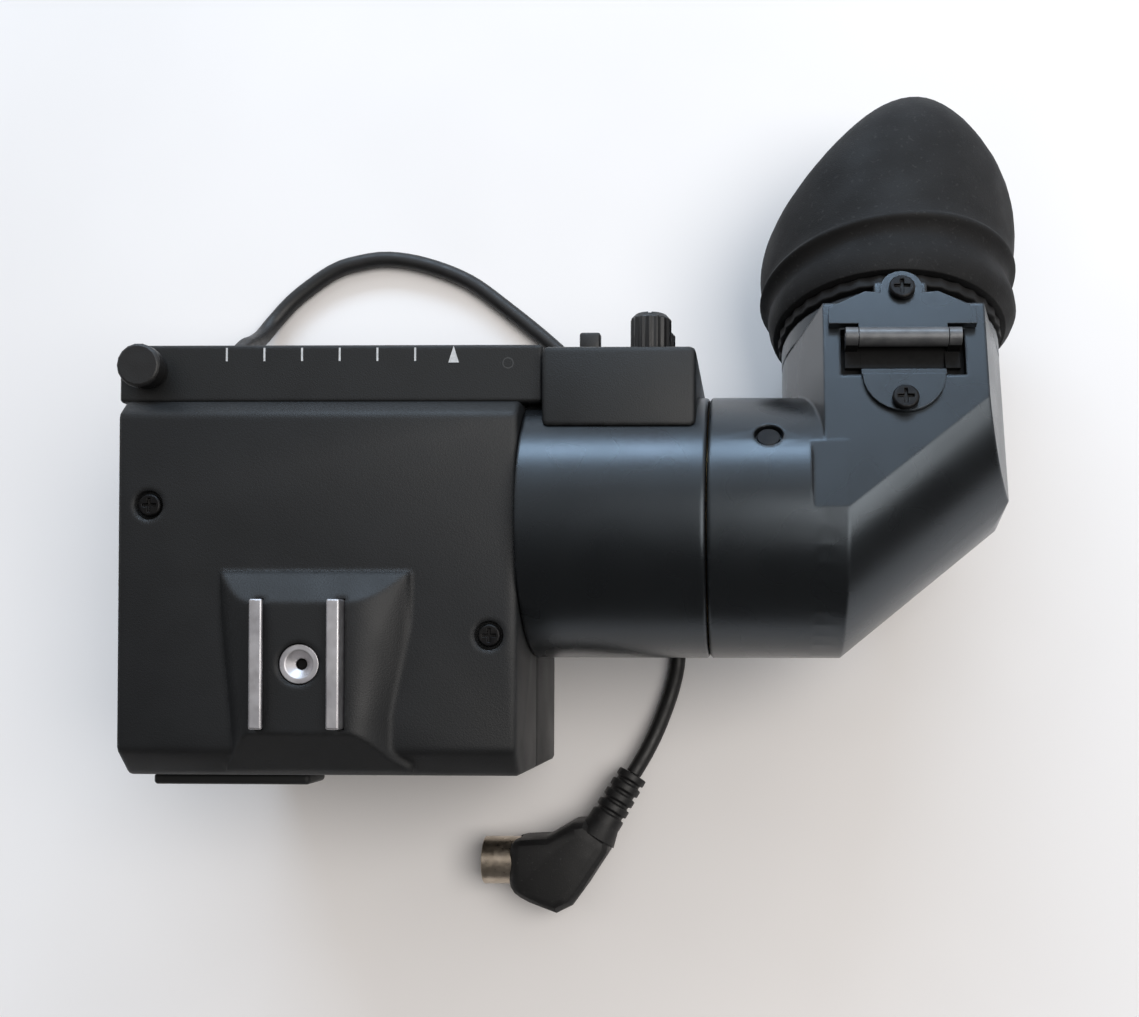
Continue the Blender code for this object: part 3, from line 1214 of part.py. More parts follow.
def make_hinge(finish, elbow, flip):
    """Fixed leaf with ears, pin, upper leaf with its knuckle, and both screws."""
    low = FLAT_HEIGHT + CLEAR
    top = low + LEAF_THICK
    leaf = put("hinge_leaf", prism(leaf_outline(), low, top), finish["paint"], elbow)
    floor = FLAT_HEIGHT - POCKET_DEPTH + CLEAR
    wall = POCKET_FRONT + CLEAR
    back = POCKET_BACK - CLEAR
    ramp = [
        (wall - CLEAR * 3, low), (wall, low - CLEAR), (wall, floor), (back, floor),
        (back, floor + LEAF_FLOOR),
        (wall + LEAF_RAMP, floor + LEAF_FLOOR), (wall + LEAF_THICK, top - CLEAR / 2),
        (wall - CLEAR * 3, top - CLEAR / 2),
    ]
    middle = KNUCKLE_HALF - CLEAR * 2
    join(leaf, prism(ramp, HINGE_X - middle, HINGE_X + middle, "X"), elbow, "ramp")
    side = PIN_HALF
    strip = block(
        (HINGE_X - side, wall + LEAF_RAMP, floor + CLEAR / 10),
        (HINGE_X + side, back - CLEAR, floor + LEAF_FLOOR - CLEAR / 10))
    join(leaf, strip, elbow, "floor")
    for number, side in enumerate((-1, 1)):
        a = HINGE_X + side * (PIN_HALF - EAR_WIDTH)
        b = HINGE_X + side * (PIN_HALF - CLEAR / 10)
        start, end = min(a, b), max(a, b)
        ear = [
            (PIN_S - KNUCKLE_RADIUS, floor + CLEAR / 2), (PIN_S + KNUCKLE_RADIUS, floor + CLEAR / 2),
            *arc((PIN_S, PIN_H), KNUCKLE_RADIUS, 0, 180, 10),
        ]
        join(leaf, prism(ear, start, end, "X"), elbow, f"ear_{number}")
    bore = disc(PIN_HOLE_RADIUS, -PIN_HALF - OVERRUN, PIN_HALF + OVERRUN, SCREW_STEPS, "X")
    cut(leaf, shift(bore, (HINGE_X, PIN_S, PIN_H)), elbow, "pin_bore")
    hole = disc(HINGE_SHANK_RADIUS + CLEAR, low - OVERRUN, top + OVERRUN, SCREW_STEPS)
    cut(leaf, shift(hole, (HINGE_X, LEAF_SCREW_S, 0)), elbow, "screw_hole")
    screw = screw_form(HINGE_HEAD_RADIUS, HINGE_HEAD_HEIGHT, HINGE_SHANK_RADIUS, HINGE_SHANK_LENGTH)
    seat = (HINGE_X, LEAF_SCREW_S, top + CLEAR)
    piece = put("leaf_screw", shift(screw, seat), finish["black_steel"], elbow)
    slot_cross(piece, HINGE_HEAD_RADIUS, HINGE_HEAD_HEIGHT, elbow, seat)

    pin = disc(PIN_RADIUS, -PIN_HALF, PIN_HALF, SCREW_STEPS, "X")
    put("hinge_pin", pin, finish["steel"], flip)
    knuckle = disc(KNUCKLE_RADIUS, -KNUCKLE_HALF, KNUCKLE_HALF, SMALL_STEPS, "X")
    upper = put("upper_leaf", knuckle, finish["paint"], flip)
    low = FLAT_HEIGHT + CLEAR - PIN_H
    top = low + UPPER_LEAF_THICK
    half = UPPER_LEAF_HALF
    start = POCKET_BACK - PIN_S + CLEAR
    outline = [
        (-KNUCKLE_HALF, 0), (KNUCKLE_HALF, 0), (KNUCKLE_HALF, start), (half, start),
        (half, UPPER_LEAF_SHOULDER - PIN_S), (UPPER_LEAF_NOSE_HALF, UPPER_LEAF_NOSE - PIN_S),
        *arc((0, UPPER_SCREW_S - PIN_S), UPPER_BOSS_RADIUS, -10, 190, 12),
        (-UPPER_LEAF_NOSE_HALF, UPPER_LEAF_NOSE - PIN_S),
        (-half, UPPER_LEAF_SHOULDER - PIN_S), (-half, start),
        (-KNUCKLE_HALF, start),
    ]
    join(upper, prism(outline, low, top), flip, "plate")
    bore = disc(PIN_RADIUS + CLEAR, -PIN_HALF - OVERRUN, PIN_HALF + OVERRUN, SCREW_STEPS, "X")
    cut(upper, bore, flip, "pin_bore")
    hole = disc(HINGE_SHANK_RADIUS + CLEAR, low - OVERRUN, top + OVERRUN, SCREW_STEPS)
    cut(upper, shift(hole, (0, UPPER_SCREW_S - PIN_S, 0)), flip, "screw_hole")
    seat = (0, UPPER_SCREW_S - PIN_S, top + CLEAR)
    screw = screw_form(HINGE_HEAD_RADIUS, HINGE_HEAD_HEIGHT, HINGE_SHANK_RADIUS, HINGE_SHANK_LENGTH)
    piece = put("upper_leaf_screw", shift(screw, seat), finish["black_steel"], flip)
    slot_cross(piece, HINGE_HEAD_RADIUS, HINGE_HEAD_HEIGHT, flip, seat)


def make_collar(finish, eye):
    """Collar behind the block with the snout that carries the lens and the rings."""
    lip = CLEAR * 3
    bm = turned([
        (SNOUT_BORE_RADIUS, COLLAR_START), (COLLAR_RADIUS, COLLAR_START), (COLLAR_RADIUS, COLLAR_END - lip),
        (COLLAR_RADIUS - lip, COLLAR_END), (SNOUT_RADIUS, COLLAR_END), (SNOUT_RADIUS, SNOUT_END),
        (SNOUT_BORE_RADIUS, SNOUT_END),
    ], FINE_STEPS, "Y")
    collar = put("eyepiece_collar", bm, finish["paint"], eye)
    pad_top = FLAT_HEIGHT
    offset = HINGE_X - BLOCK_CENTRE
    pad = block(
        (offset - COLLAR_PAD_HALF, COLLAR_START, COLLAR_RADIUS - COLLAR_WALL),
        (offset + COLLAR_PAD_HALF, COLLAR_END - lip, pad_top))
    join(collar, pad, eye, "pad")
    foot = block(
        (-CATCH_HALF, COLLAR_START, -FLAT_HEIGHT),
        (CATCH_HALF, COLLAR_END - lip, -COLLAR_RADIUS + COLLAR_WALL))
    join(collar, foot, eye, "foot")
    hole = disc(HINGE_SHANK_RADIUS + CLEAR, pad_top - HINGE_SHANK_LENGTH, pad_top + OVERRUN, SCREW_STEPS)
    cut(collar, shift(hole, (offset, UPPER_SCREW_S, 0)), eye, "screw_hole")
    low = -FLAT_HEIGHT - CATCH_GAP
    catch = [
        (BLOCK_END - CATCH_REACH, low - CATCH_THICK), (COLLAR_END - lip, -FLAT_HEIGHT - CLEAR - CATCH_THICK),
        (COLLAR_END - lip, -FLAT_HEIGHT - CLEAR), (COLLAR_START, -FLAT_HEIGHT - CLEAR),
        (BLOCK_END - CATCH_REACH, low),
    ]
    put("catch_spring", prism(catch, -CATCH_HALF, CATCH_HALF, "X"), finish["steel"], eye)


def make_lenses(finish, eye):
    """Lens barrel that slides for focus, with a front and a rear lens."""
    outer = SNOUT_BORE_RADIUS - RUN_CLEAR
    inner = outer - LENS_BARREL_WALL
    seat = LENS_RADIUS - LENS_SEAT
    middle = (LENS_BARREL_START + LENS_BARREL_END) / 2
    half = LENS_EDGE / 2 + CLEAR
    front = LENS_BARREL_START + LENS_EDGE + LENS_BULGE
    rear = LENS_BARREL_END - LENS_EDGE - LENS_BULGE
    barrel = turned([
        (inner, LENS_BARREL_START), (outer, LENS_BARREL_START), (outer, LENS_BARREL_END),
        (inner, LENS_BARREL_END), (inner, middle + half), (seat, middle + half), (seat, middle - half),
        (inner, middle - half),
    ], FINE_STEPS, "Y")
    put("lens_barrel", barrel, finish["black_steel"], eye)
    radius = inner - CLEAR
    lens_thick = LENS_EDGE
    for name, edge_s in (
        ("front_lens", min(front, middle - half - CLEAR - lens_thick)),
        ("rear_lens", max(rear - lens_thick, middle + half + CLEAR)),
    ):
        low = edge_s
        high = edge_s + lens_thick
        bulge = LENS_BULGE if name == "rear_lens" else -LENS_BULGE
        face = []
        for step in range(4):
            share = 1 - step / 3
            face.append((radius * share, share))
        if bulge > 0:
            points = [(0, low), (radius, low)]
            points += [(r, high + bulge * (1 - t * t)) for r, t in face]
        else:
            points = [(r, low + bulge * (1 - t * t)) for r, t in reversed(face)]
            points += [(radius, high), (0, high)]
        put(name, turned(points, FINE_STEPS // 2, "Y"), finish["glass"], eye)


def make_focus_ring(finish, eye):
    """Ribbed ring that slides the lens barrel."""
    bm = turned([
        (SNOUT_RADIUS + RUN_CLEAR, FOCUS_START), (FOCUS_RADIUS, FOCUS_START), (FOCUS_RADIUS, FOCUS_END),
        (SNOUT_RADIUS + RUN_CLEAR, FOCUS_END),
    ], FOCUS_GRIP_COUNT * 2)
    for vert in bm.verts:
        radius = math.hypot(vert.co.x, vert.co.y)
        step = round(math.atan2(vert.co.y, vert.co.x) / math.tau * FOCUS_GRIP_COUNT * 2)
        if radius > SNOUT_RADIUS + CLEAR * 4 and step % 2:
            vert.co.x *= 1 - FOCUS_GRIP_DEPTH / radius
            vert.co.y *= 1 - FOCUS_GRIP_DEPTH / radius
    put("focus_ring", turn_to(bm, "Y"), finish["knob"], eye)


def cup_ring(s_of, radius_of):
    """Return one ring of eyecup points from functions of the angle."""
    points = []
    for step in range(CUP_SIDES):
        angle = math.tau * step / CUP_SIDES
        radius = radius_of(angle)
        points.append((radius * math.cos(angle), s_of(angle), radius * math.sin(angle)))
    return points


def rim_at(angle):
    """Return how far the hood reaches at an angle round the eyepiece."""
    share = ((1 + math.cos(angle - CUP_WING_ANGLE)) / 2) ** CUP_WING_POWER
    return CUP_RIM_SHORT + (CUP_RIM_LONG - CUP_RIM_SHORT) * share


def hood_radius(angle, reach, narrow, wall):
    """Return the hood's radius at a share of its reach."""
    wave = math.sin(math.pi * min(1.0, reach * CUP_SWELL_SHARE))
    swell = CUP_SIDE_SWELL * math.cos(angle) ** 2 - CUP_LOW_DENT * max(0.0, -math.sin(angle)) ** 2
    return CUP_RADII[-1][1] * narrow + swell * wave - wall


def hood_station(angle, reach):
    """Return how far along the eyepiece a share of the hood's reach stands."""
    start = slanted(CUP_HOOD, angle)
    return start + (rim_at(angle) - start) * reach


def slanted(s, angle):
    """Return a station along the cup that leans with its ridge."""
    share = max(0.0, min(1.0, (s - CUP_RADII[1][0]) / (CUP_RIDGE - CUP_RADII[1][0])))
    return s + CUP_RIDGE_SLANT * math.cos(angle) * share


def make_eyecup(finish, eye):
    """Ring that grips the snout, and the rubber cup with its long hood."""
    ring = turned([
        (SNOUT_RADIUS + RUN_CLEAR, RING_START), (RING_RADIUS, RING_START), (RING_RADIUS, RING_END),
        (SNOUT_RADIUS + RUN_CLEAR, RING_END),
    ], FINE_STEPS, "Y")
    put("eyecup_ring", ring, finish["black_steel"], eye)
    rings = []
    for s, radius in CUP_RADII:
        rings.append(cup_ring(lambda angle, s=s: slanted(s, angle), lambda angle, radius=radius: radius))
    for reach, narrow in CUP_HOOD_SHARES:
        rings.append(cup_ring(
            lambda angle, reach=reach: hood_station(angle, reach),
            lambda angle, reach=reach, narrow=narrow: hood_radius(angle, reach, narrow, 0)))
    for reach, narrow in reversed(CUP_HOOD_SHARES):
        rings.append(cup_ring(
            lambda angle, reach=reach: hood_station(angle, reach),
            lambda angle, reach=reach, narrow=narrow: hood_radius(angle, reach, narrow, CUP_WALL)))
    for s, radius in reversed(CUP_RADII[2:]):
        inner = radius - CUP_WALL
        rings.append(cup_ring(lambda angle, s=s: slanted(s, angle), lambda angle, inner=inner: inner))
    inner = RING_RADIUS + CLEAR
    for s in (RING_END + CLEAR, CUP_START):
        rings.append(cup_ring(lambda angle, s=s: s, lambda angle: inner))
    bm = bmesh.new()
    loops = []
    for points in rings:
        corners = [bm.verts.new(point) for point in points]
        loops.append([bm.edges.new((a, b)) for a, b in zip(corners, corners[1:] + corners[:1])])
    for first, second in zip(loops, loops[1:] + loops[:1]):
        bmesh.ops.bridge_loops(bm, edges=first + second)
    put("eyecup", bm, finish["rubber"], eye)


def cable_route():
    """Return the route, whose first points keep to the strain relief's end."""
    wall = HOUSING_DEPTH / 2 + CLEAR + RELIEF_LENGTH
    first = Vector(CABLE_ROUTE[0])
    offset = Vector((RELIEF_X, wall + CABLE_START_GAP, RELIEF_Z)) - first
    route = []
    for number, place in enumerate(CABLE_ROUTE):
        share = max(0.0, min(1.0, 2 - 2 * number / CABLE_TIED_POINTS))
        rise = share * place[2] / first.z
        route.append(Vector(place) + Vector((offset.x * share, offset.y * share, offset.z * rise)))
    return route


def smooth_route(route, step):
    """Return points on a smooth curve through the route, about a step apart."""
    places = [Vector(place) for place in route]
    places = [places[0] * 2 - places[1], *places, places[-1] * 2 - places[-2]]
    points = []
    for a, b, c, d in zip(places, places[1:], places[2:], places[3:]):
        count = max(1, round((c - b).length / step))
        for number in range(count):
            t = number / count
            points.append(
                (2 * b + (c - a) * t + (2 * a - 5 * b + 4 * c - d) * t ** 2
                 + (3 * b - a - 3 * c + d) * t ** 3) / 2)
    points.append(places[-2])
    return points


def aim(bm, start, toward):
    """Turn a form made along Z to start at a point and run toward another."""
    direction = (Vector(toward) - Vector(start)).normalized()
    matrix = direction.to_track_quat("Z", "Y").to_matrix()
    bmesh.ops.rotate(bm, cent=(0, 0, 0), matrix=matrix, verts=bm.verts)
    return shift(bm, start)


def make_cable(finish):
    """Strain relief, cable, ribbed boot and angled plug."""
    wall = HOUSING_DEPTH / 2 + CLEAR
    outline = [(0, 0), (RELIEF_ROOT_RADIUS, 0)]
    for groove in range(RELIEF_GROOVES):
        low = (groove + 1) / (RELIEF_GROOVES + 1)
        radius = RELIEF_ROOT_RADIUS + (RELIEF_TIP_RADIUS - RELIEF_ROOT_RADIUS) * low
        place = RELIEF_LENGTH * low
        outline += [
            (radius, place - CLEAR * 3), (radius - BOOT_GROOVE / 2, place - CLEAR),
            (radius - BOOT_GROOVE / 2, place + CLEAR), (radius, place + CLEAR * 3),
        ]
    outline += [(RELIEF_TIP_RADIUS, RELIEF_LENGTH), (0, RELIEF_LENGTH)]
    relief = turned(outline, SMALL_STEPS, "Y")
    put("cable_strain_relief", shift(relief, (RELIEF_X, wall, RELIEF_Z)), finish["rubber"])
    route = cable_route()
    tube("cable", smooth_route(route, CABLE_STEP), CABLE_RADIUS, finish["cable"], 2)

    end = route[-1]
    direction = (route[-1] - route[-2]).normalized()
    start = end + direction * CLEAR
    step = BOOT_LENGTH / BOOT_RIBS
    outline = [(0, 0)]
    for rib in range(BOOT_RIBS):
        radius = BOOT_TIP_RADIUS + (BOOT_ROOT_RADIUS - BOOT_TIP_RADIUS) * rib / (BOOT_RIBS - 1)
        outline += [(radius, rib * step), (radius, (rib + BOOT_RIB_SHARE) * step)]
        if rib < BOOT_RIBS - 1:
            outline += [(radius - BOOT_GROOVE, (rib + share) * step) for share in GROOVE_FLOOR_SHARES]
    outline += [(BOOT_ROOT_RADIUS, BOOT_LENGTH), (0, BOOT_LENGTH)]
    tip = start + direction * BOOT_LENGTH
    put("plug_boot", aim(turned(outline, SMALL_STEPS), start, tip), finish["rubber"])

    low = PLUG_AXIS_Z - PLUG_THICK / 2
    body = put("plug_body", prism(PLUG_OUTLINE, low, low + PLUG_THICK), finish["cable"])
    bevel(body, PLUG_EDGE, 3, 60.0)
    seat = disc(BOOT_ROOT_RADIUS + CLEAR, -OVERRUN, BOOT_LENGTH + CLEAR, SMALL_STEPS)
    cut(body, aim(seat, start, tip), tool_name="boot_seat")
    left = min(x for x, y in PLUG_OUTLINE)
    shell_seat = disc(SHELL_RADIUS + CLEAR, left - OVERRUN, left + INSERT_SINK, ROUND_STEPS, "X")
    cut(body, shift(shell_seat, (0, SHELL_Y, PLUG_AXIS_Z)), tool_name="shell_seat")
    back = left + INSERT_SINK - CLEAR
    front = left - SHELL_LENGTH
    inner = SHELL_RADIUS - SHELL_WALL
    shell = turned([
        (inner, front), (SHELL_RADIUS, front), (SHELL_RADIUS, back), (inner, back),
    ], ROUND_STEPS, "X")
    put("plug_shell", shift(shell, (0, SHELL_Y, PLUG_AXIS_Z)), finish["nickel"])
    core = put("plug_insert", shift(
        disc(INSERT_RADIUS, front + INSERT_SINK, back, ROUND_STEPS, "X"), (0, SHELL_Y, PLUG_AXIS_Z)),
        finish["resin"])
    for number in range(PIN_COUNT):
        angle = math.tau * number / PIN_COUNT
        contact = disc(CONTACT_RADIUS, front + INSERT_SINK - CONTACT_LENGTH, front + INSERT_SINK * 2, 6, "X")
        across = CONTACT_CIRCLE * math.cos(angle)
        place = (0, SHELL_Y + across, PLUG_AXIS_Z + CONTACT_CIRCLE * math.sin(angle))
        join(core, shift(contact, place), tool_name=f"contact_{number}")


def main():
    """Build the whole viewfinder."""
    clear_scene()
    finish = make_finishes()
    make_top_cover(finish)
    make_bottom_cover(finish)
    make_cover_screws(finish)
    make_base_screws(finish)
    make_shoe(finish)
    make_rail_bar(finish)
    make_stop(finish)
    make_tally(finish)
    make_crt_barrel(finish)
    make_crt(finish)
    make_electronics(finish)
    make_control_box(finish)
    make_controls(finish)
    make_cable(finish)
    elbow = pivot("elbow_pivot", (BARREL_END, AXIS_Y, AXIS_Z), None, ELBOW_TILT)
    flip = pivot("flip_pivot", (HINGE_X, PIN_S, PIN_H), elbow)
    eye = pivot("eyepiece_axis", (BLOCK_CENTRE - HINGE_X, -PIN_S, -PIN_H), flip)
    make_elbow(finish, elbow)
    make_mirror(finish, elbow)
    make_hinge(finish, elbow, flip)
    make_collar(finish, eye)
    make_lenses(finish, eye)
    make_focus_ring(finish, eye)
    make_eyecup(finish, eye)


main()
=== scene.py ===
"""Looks of an electronic viewfinder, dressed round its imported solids.

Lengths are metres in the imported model's frame: +X along the picture tube, +Y to
the user's eye, +Z up, with the table at zero.
"""

import json
import logging
import math
from collections.abc import Callable
from dataclasses import dataclass, field, replace
from enum import Enum

import bmesh
import bpy
from mathutils import Matrix, Vector

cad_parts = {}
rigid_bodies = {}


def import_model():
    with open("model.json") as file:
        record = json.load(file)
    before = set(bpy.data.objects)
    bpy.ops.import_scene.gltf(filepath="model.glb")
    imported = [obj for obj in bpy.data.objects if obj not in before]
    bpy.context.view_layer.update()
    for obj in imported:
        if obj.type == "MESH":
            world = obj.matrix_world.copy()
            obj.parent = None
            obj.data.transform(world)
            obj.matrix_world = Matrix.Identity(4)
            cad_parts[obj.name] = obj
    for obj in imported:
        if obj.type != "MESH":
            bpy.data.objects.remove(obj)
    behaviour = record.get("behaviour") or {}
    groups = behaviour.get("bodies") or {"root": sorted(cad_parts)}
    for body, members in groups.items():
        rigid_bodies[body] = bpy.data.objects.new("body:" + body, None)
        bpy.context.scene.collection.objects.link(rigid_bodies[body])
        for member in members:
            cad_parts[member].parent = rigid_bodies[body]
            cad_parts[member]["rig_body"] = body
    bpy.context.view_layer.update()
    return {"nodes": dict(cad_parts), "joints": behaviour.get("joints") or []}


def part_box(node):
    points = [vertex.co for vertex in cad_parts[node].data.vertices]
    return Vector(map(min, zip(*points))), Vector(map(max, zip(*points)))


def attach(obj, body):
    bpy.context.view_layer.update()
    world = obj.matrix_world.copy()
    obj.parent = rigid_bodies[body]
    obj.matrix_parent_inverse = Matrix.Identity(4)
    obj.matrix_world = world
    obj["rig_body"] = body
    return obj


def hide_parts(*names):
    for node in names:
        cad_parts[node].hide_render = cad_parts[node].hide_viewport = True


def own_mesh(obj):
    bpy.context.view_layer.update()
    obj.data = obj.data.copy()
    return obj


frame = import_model()

LOG = logging.getLogger("viewfinder")

Colour = tuple[float, float, float]
Place = tuple[float, float, float]
Band = tuple[float, float]
SizeOf = Callable[[float], float]
Socket = bpy.types.NodeSocket
Material = bpy.types.Material
Piece = bpy.types.Object
Form = bmesh.types.BMesh
Edges = list[bmesh.types.BMEdge]

# Parts of a noise pattern, or of an edge's turn, that a look fades over
PATCH_BAND: Band = (0.35, 0.65)
GLOSS_BAND: Band = (0.2, 0.8)
RUB_BAND: Band = (0.02, 0.16)
WEAR_BAND: Band = (0.42, 0.62)

SMOOTH_TURN = math.radians(40)
UPRIGHT = Matrix.Rotation(math.radians(90), 3, "X")


class Body(str, Enum):
    """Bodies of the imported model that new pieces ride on."""

    HOUSING = "viewfinder_body"
    EYECUP = "eyecup_body"
    BRIGHTNESS = "brightness_knob_body"
    CONTRAST = "contrast_knob_body"
    PEAKING = "peaking_knob_body"


class NodeBoard:
    """Shader nodes of one material, with short calls to add and join them."""

    def __init__(self, name: str) -> None:
        """Start a material.

        Args:
            name: The material's name.
        """
        self.material = bpy.data.materials.new(name)
        self.material.use_nodes = True
        self.tree = self.material.node_tree
        self.shader = self.tree.nodes["Principled BSDF"]
        self.place = self.tree.nodes.new("ShaderNodeTexCoord").outputs["Object"]

    def add(self, kind: str, **settings: object) -> bpy.types.ShaderNode:
        """Add a node.

        Args:
            kind: Blender's node type.
            settings: Properties to set on the node.

        Returns:
            The new node.
        """
        node = self.tree.nodes.new(kind)
        for key, value in settings.items():
            setattr(node, key, value)
        return node

    def join(self, source: Socket, target: Socket) -> None:
        """Link one socket to another."""
        self.tree.links.new(source, target)

    def stretched(self, scale: Place) -> Socket:
        """Return object coordinates stretched along the axes."""
        mapping = self.add("ShaderNodeMapping")
        mapping.inputs["Scale"].default_value = scale
        self.join(self.place, mapping.inputs["Vector"])
        return mapping.outputs["Vector"]

    def noise(
        self, scale: float, detail: float = 2.0, place: Socket | None = None,
    ) -> Socket:
        """Return a noise pattern.

        Args:
            scale: Cells to the metre.
            detail: Octaves of finer noise.
            place: The coordinates, or None for the object's own.

        Returns:
            The pattern's value socket.
        """
        node = self.add("ShaderNodeTexNoise")
        node.inputs["Scale"].default_value = scale
        node.inputs["Detail"].default_value = detail
        self.join(place or self.place, node.inputs["Vector"])
        return node.outputs["Fac"]

    def ranged(
        self, value: Socket, start: float, end: float, low: float, high: float,
    ) -> Socket:
        """Return a value moved smoothly from one range to another."""
        node = self.add("ShaderNodeMapRange", interpolation_type="SMOOTHSTEP")
        ends = {"From Min": start, "From Max": end, "To Min": low, "To Max": high}
        for key, number in ends.items():
            node.inputs[key].default_value = number
        self.join(value, node.inputs["Value"])
        return node.outputs["Result"]

    def maths(self, operation: str, *values: Socket | float) -> Socket:
        """Return the result of a math node on sockets or numbers."""
        node = self.add("ShaderNodeMath", operation=operation)
        for slot, value in zip(node.inputs, values):
            if isinstance(value, (int, float)):
                slot.default_value = value
            else:
                self.join(value, slot)
        return node.outputs[0]

    def mixed(
        self, share: Socket, first: Colour | Socket, second: Colour,
    ) -> Socket:
        """Return a colour between two by a share from 0 to 1."""
        node = self.add("ShaderNodeMix", data_type="RGBA")
        for slot, colour in ((node.inputs[6], first), (node.inputs[7], second)):
            if isinstance(colour, tuple):
                slot.default_value = (*colour, 1.0)
            else:
                self.join(colour, slot)
        self.join(share, node.inputs[0])
        return node.outputs[2]


@dataclass(frozen=True)
class Finish:
    """A surface with slow colour drift, fine grain, soft edges and worn corners.

    The colours are linear, and the grain is in cells to the metre and metres. The
    edge radius is the rounding that the light shows on an edge where the finish is
    rounded, and otherwise only the reach of the wear.
    """

    name: str
    colour: Colour
    drift: Colour
    roughness: Band
    patch_scale: float = 45.0
    grain_scale: float = 3200.0
    grain_height: float = 0.00004
    metallic: float = 0.0
    specular: float = 0.5
    edge_radius: float = 0.0004
    rounded: bool = True
    tint: Colour = (1.0, 1.0, 1.0)
    worn: Colour | None = None
    wear: float = 0.0
    clear_coat: float = 0.0
    coat_roughness: float = 0.12
    edge_samples: int = 6
    gloss_scale: float = 3.0
    wear_scale: float = 320.0

    def build(self) -> Material:
        """Make the material.

        Returns:
            The finished material.
        """
        board = NodeBoard(self.name)
        shader = board.shader
        shader.inputs["Metallic"].default_value = self.metallic
        shader.inputs["Specular IOR Level"].default_value = self.specular
        shader.inputs["Specular Tint"].default_value = (*self.tint, 1.0)
        shader.inputs["Coat Weight"].default_value = self.clear_coat
        shader.inputs["Coat Roughness"].default_value = self.coat_roughness
        rounding = board.add("ShaderNodeBevel", samples=self.edge_samples)
        rounding.inputs["Radius"].default_value = self.edge_radius
        colour = self.paint(board)
        if self.worn is not None:
            rubbed = self.worn_share(board, rounding.outputs["Normal"])
            colour = board.mixed(rubbed, colour, self.worn)
        board.join(colour, shader.inputs["Base Color"])
        low, high = self.roughness
        gloss = board.noise(self.patch_scale * self.gloss_scale, 1.0)
        board.join(board.ranged(gloss, *GLOSS_BAND, low, high), shader.inputs["Roughness"])
        bump = board.add("ShaderNodeBump")
        bump.inputs["Distance"].default_value = self.grain_height
        board.join(self.relief(board), bump.inputs["Height"])
        if self.rounded:
            board.join(rounding.outputs["Normal"], bump.inputs["Normal"])
        board.join(bump.outputs["Normal"], shader.inputs["Normal"])
        return board.material

    def paint(self, board: NodeBoard) -> Socket:
        """Return the colour, which drifts slowly between two shades."""
        patches = board.noise(self.patch_scale, 3.0)
        return board.mixed(board.ranged(patches, *PATCH_BAND, 0.0, 1.0), self.colour, self.drift)

    def relief(self, board: NodeBoard) -> Socket:
        """Return the height pattern of the grain."""
        return board.noise(self.grain_scale, 2.0)

    def worn_share(self, board: NodeBoard, soft: Socket) -> Socket:
        """Return how far an edge is rubbed, from the turn of its rounded normal.

        Args:
            board: The material's nodes.
            soft: The rounded normal.

        Returns:
            A share from 0 on flats to the finish's wear on rubbed edges.
        """
        facing = board.add("ShaderNodeNewGeometry")
        dot = board.add("ShaderNodeVectorMath", operation="DOT_PRODUCT")
        board.join(soft, dot.inputs[0])
        board.join(facing.outputs["Normal"], dot.inputs[1])
        turn = board.maths("SUBTRACT", 1.0, dot.outputs["Value"])
        rubbed = board.ranged(turn, *RUB_BAND, 0.0, self.wear)
        patchy = board.ranged(board.noise(self.wear_scale, 4.0), *WEAR_BAND, 0.0, 1.0)
        return board.maths("MULTIPLY", rubbed, patchy)


@dataclass(frozen=True)
class TurnedMetal(Finish):
    """Metal with fine tool lines along one axis."""

    lines: Place = (1.0, 0.03, 1.0)

    def relief(self, board: NodeBoard) -> Socket:
        """Return the lines, long along the axis with the small scale."""
        return board.noise(self.grain_scale, 3.0, board.stretched(self.lines))


@dataclass(frozen=True)
class Rubber(Finish):
    """Rubber with pale dust in specks and slow smears."""

    dust: Colour = (0.10, 0.10, 0.10)
    dust_share: float = 0.14
    dust_scale: float = 900.0
    dust_band: Band = (0.60, 0.72)

    def paint(self, board: NodeBoard) -> Socket:
        """Return the rubber's colour with dust over it."""
        rubber = super().paint(board)
        dust = board.noise(self.dust_scale, 5.0)
        specks = board.ranged(dust, *self.dust_band, 0.0, self.dust_share)
        return board.mixed(specks, rubber, self.dust)


@dataclass(frozen=True)
class RibbedLens(Finish):
    """Clear coloured plastic with moulded ribs."""

    rib_pitch: float = 0.0012

    def relief(self, board: NodeBoard) -> Socket:
        """Return rounded ribs that stand side by side along X."""
        wave = board.add("ShaderNodeTexWave", bands_direction="X", wave_profile="SIN")
        # At scale 1 the texture's bands stand pi / 10 apart
        wave.inputs["Scale"].default_value = math.pi / (10 * self.rib_pitch)
        board.join(board.place, wave.inputs["Vector"])
        return wave.outputs["Fac"]


@dataclass(frozen=True)
class CoatedGlass:
    """Lens glass with a faint coloured coating."""

    name: str
    tint: Colour
    coating: Colour
    coat_weight: float = 0.6
    roughness: float = 0.02
    index: float = 1.5
    smear: Colour = (0.90, 0.92, 0.92)
    smear_scale: float = 160.0
    smear_band: Band = (0.4, 0.7)
    smear_share: float = 0.25

    def build(self) -> Material:
        """Return the glass material."""
        board = NodeBoard(self.name)
        shader = board.shader
        shader.inputs["Roughness"].default_value = self.roughness
        shader.inputs["Transmission Weight"].default_value = 1.0
        shader.inputs["IOR"].default_value = self.index
        shader.inputs["Coat Weight"].default_value = self.coat_weight
        shader.inputs["Coat Tint"].default_value = (*self.coating, 1.0)
        film = board.noise(self.smear_scale, 4.0)
        smears = board.ranged(film, *self.smear_band, 0.0, self.smear_share)
        board.join(board.mixed(smears, self.tint, self.smear), shader.inputs["Base Color"])
        return board.material


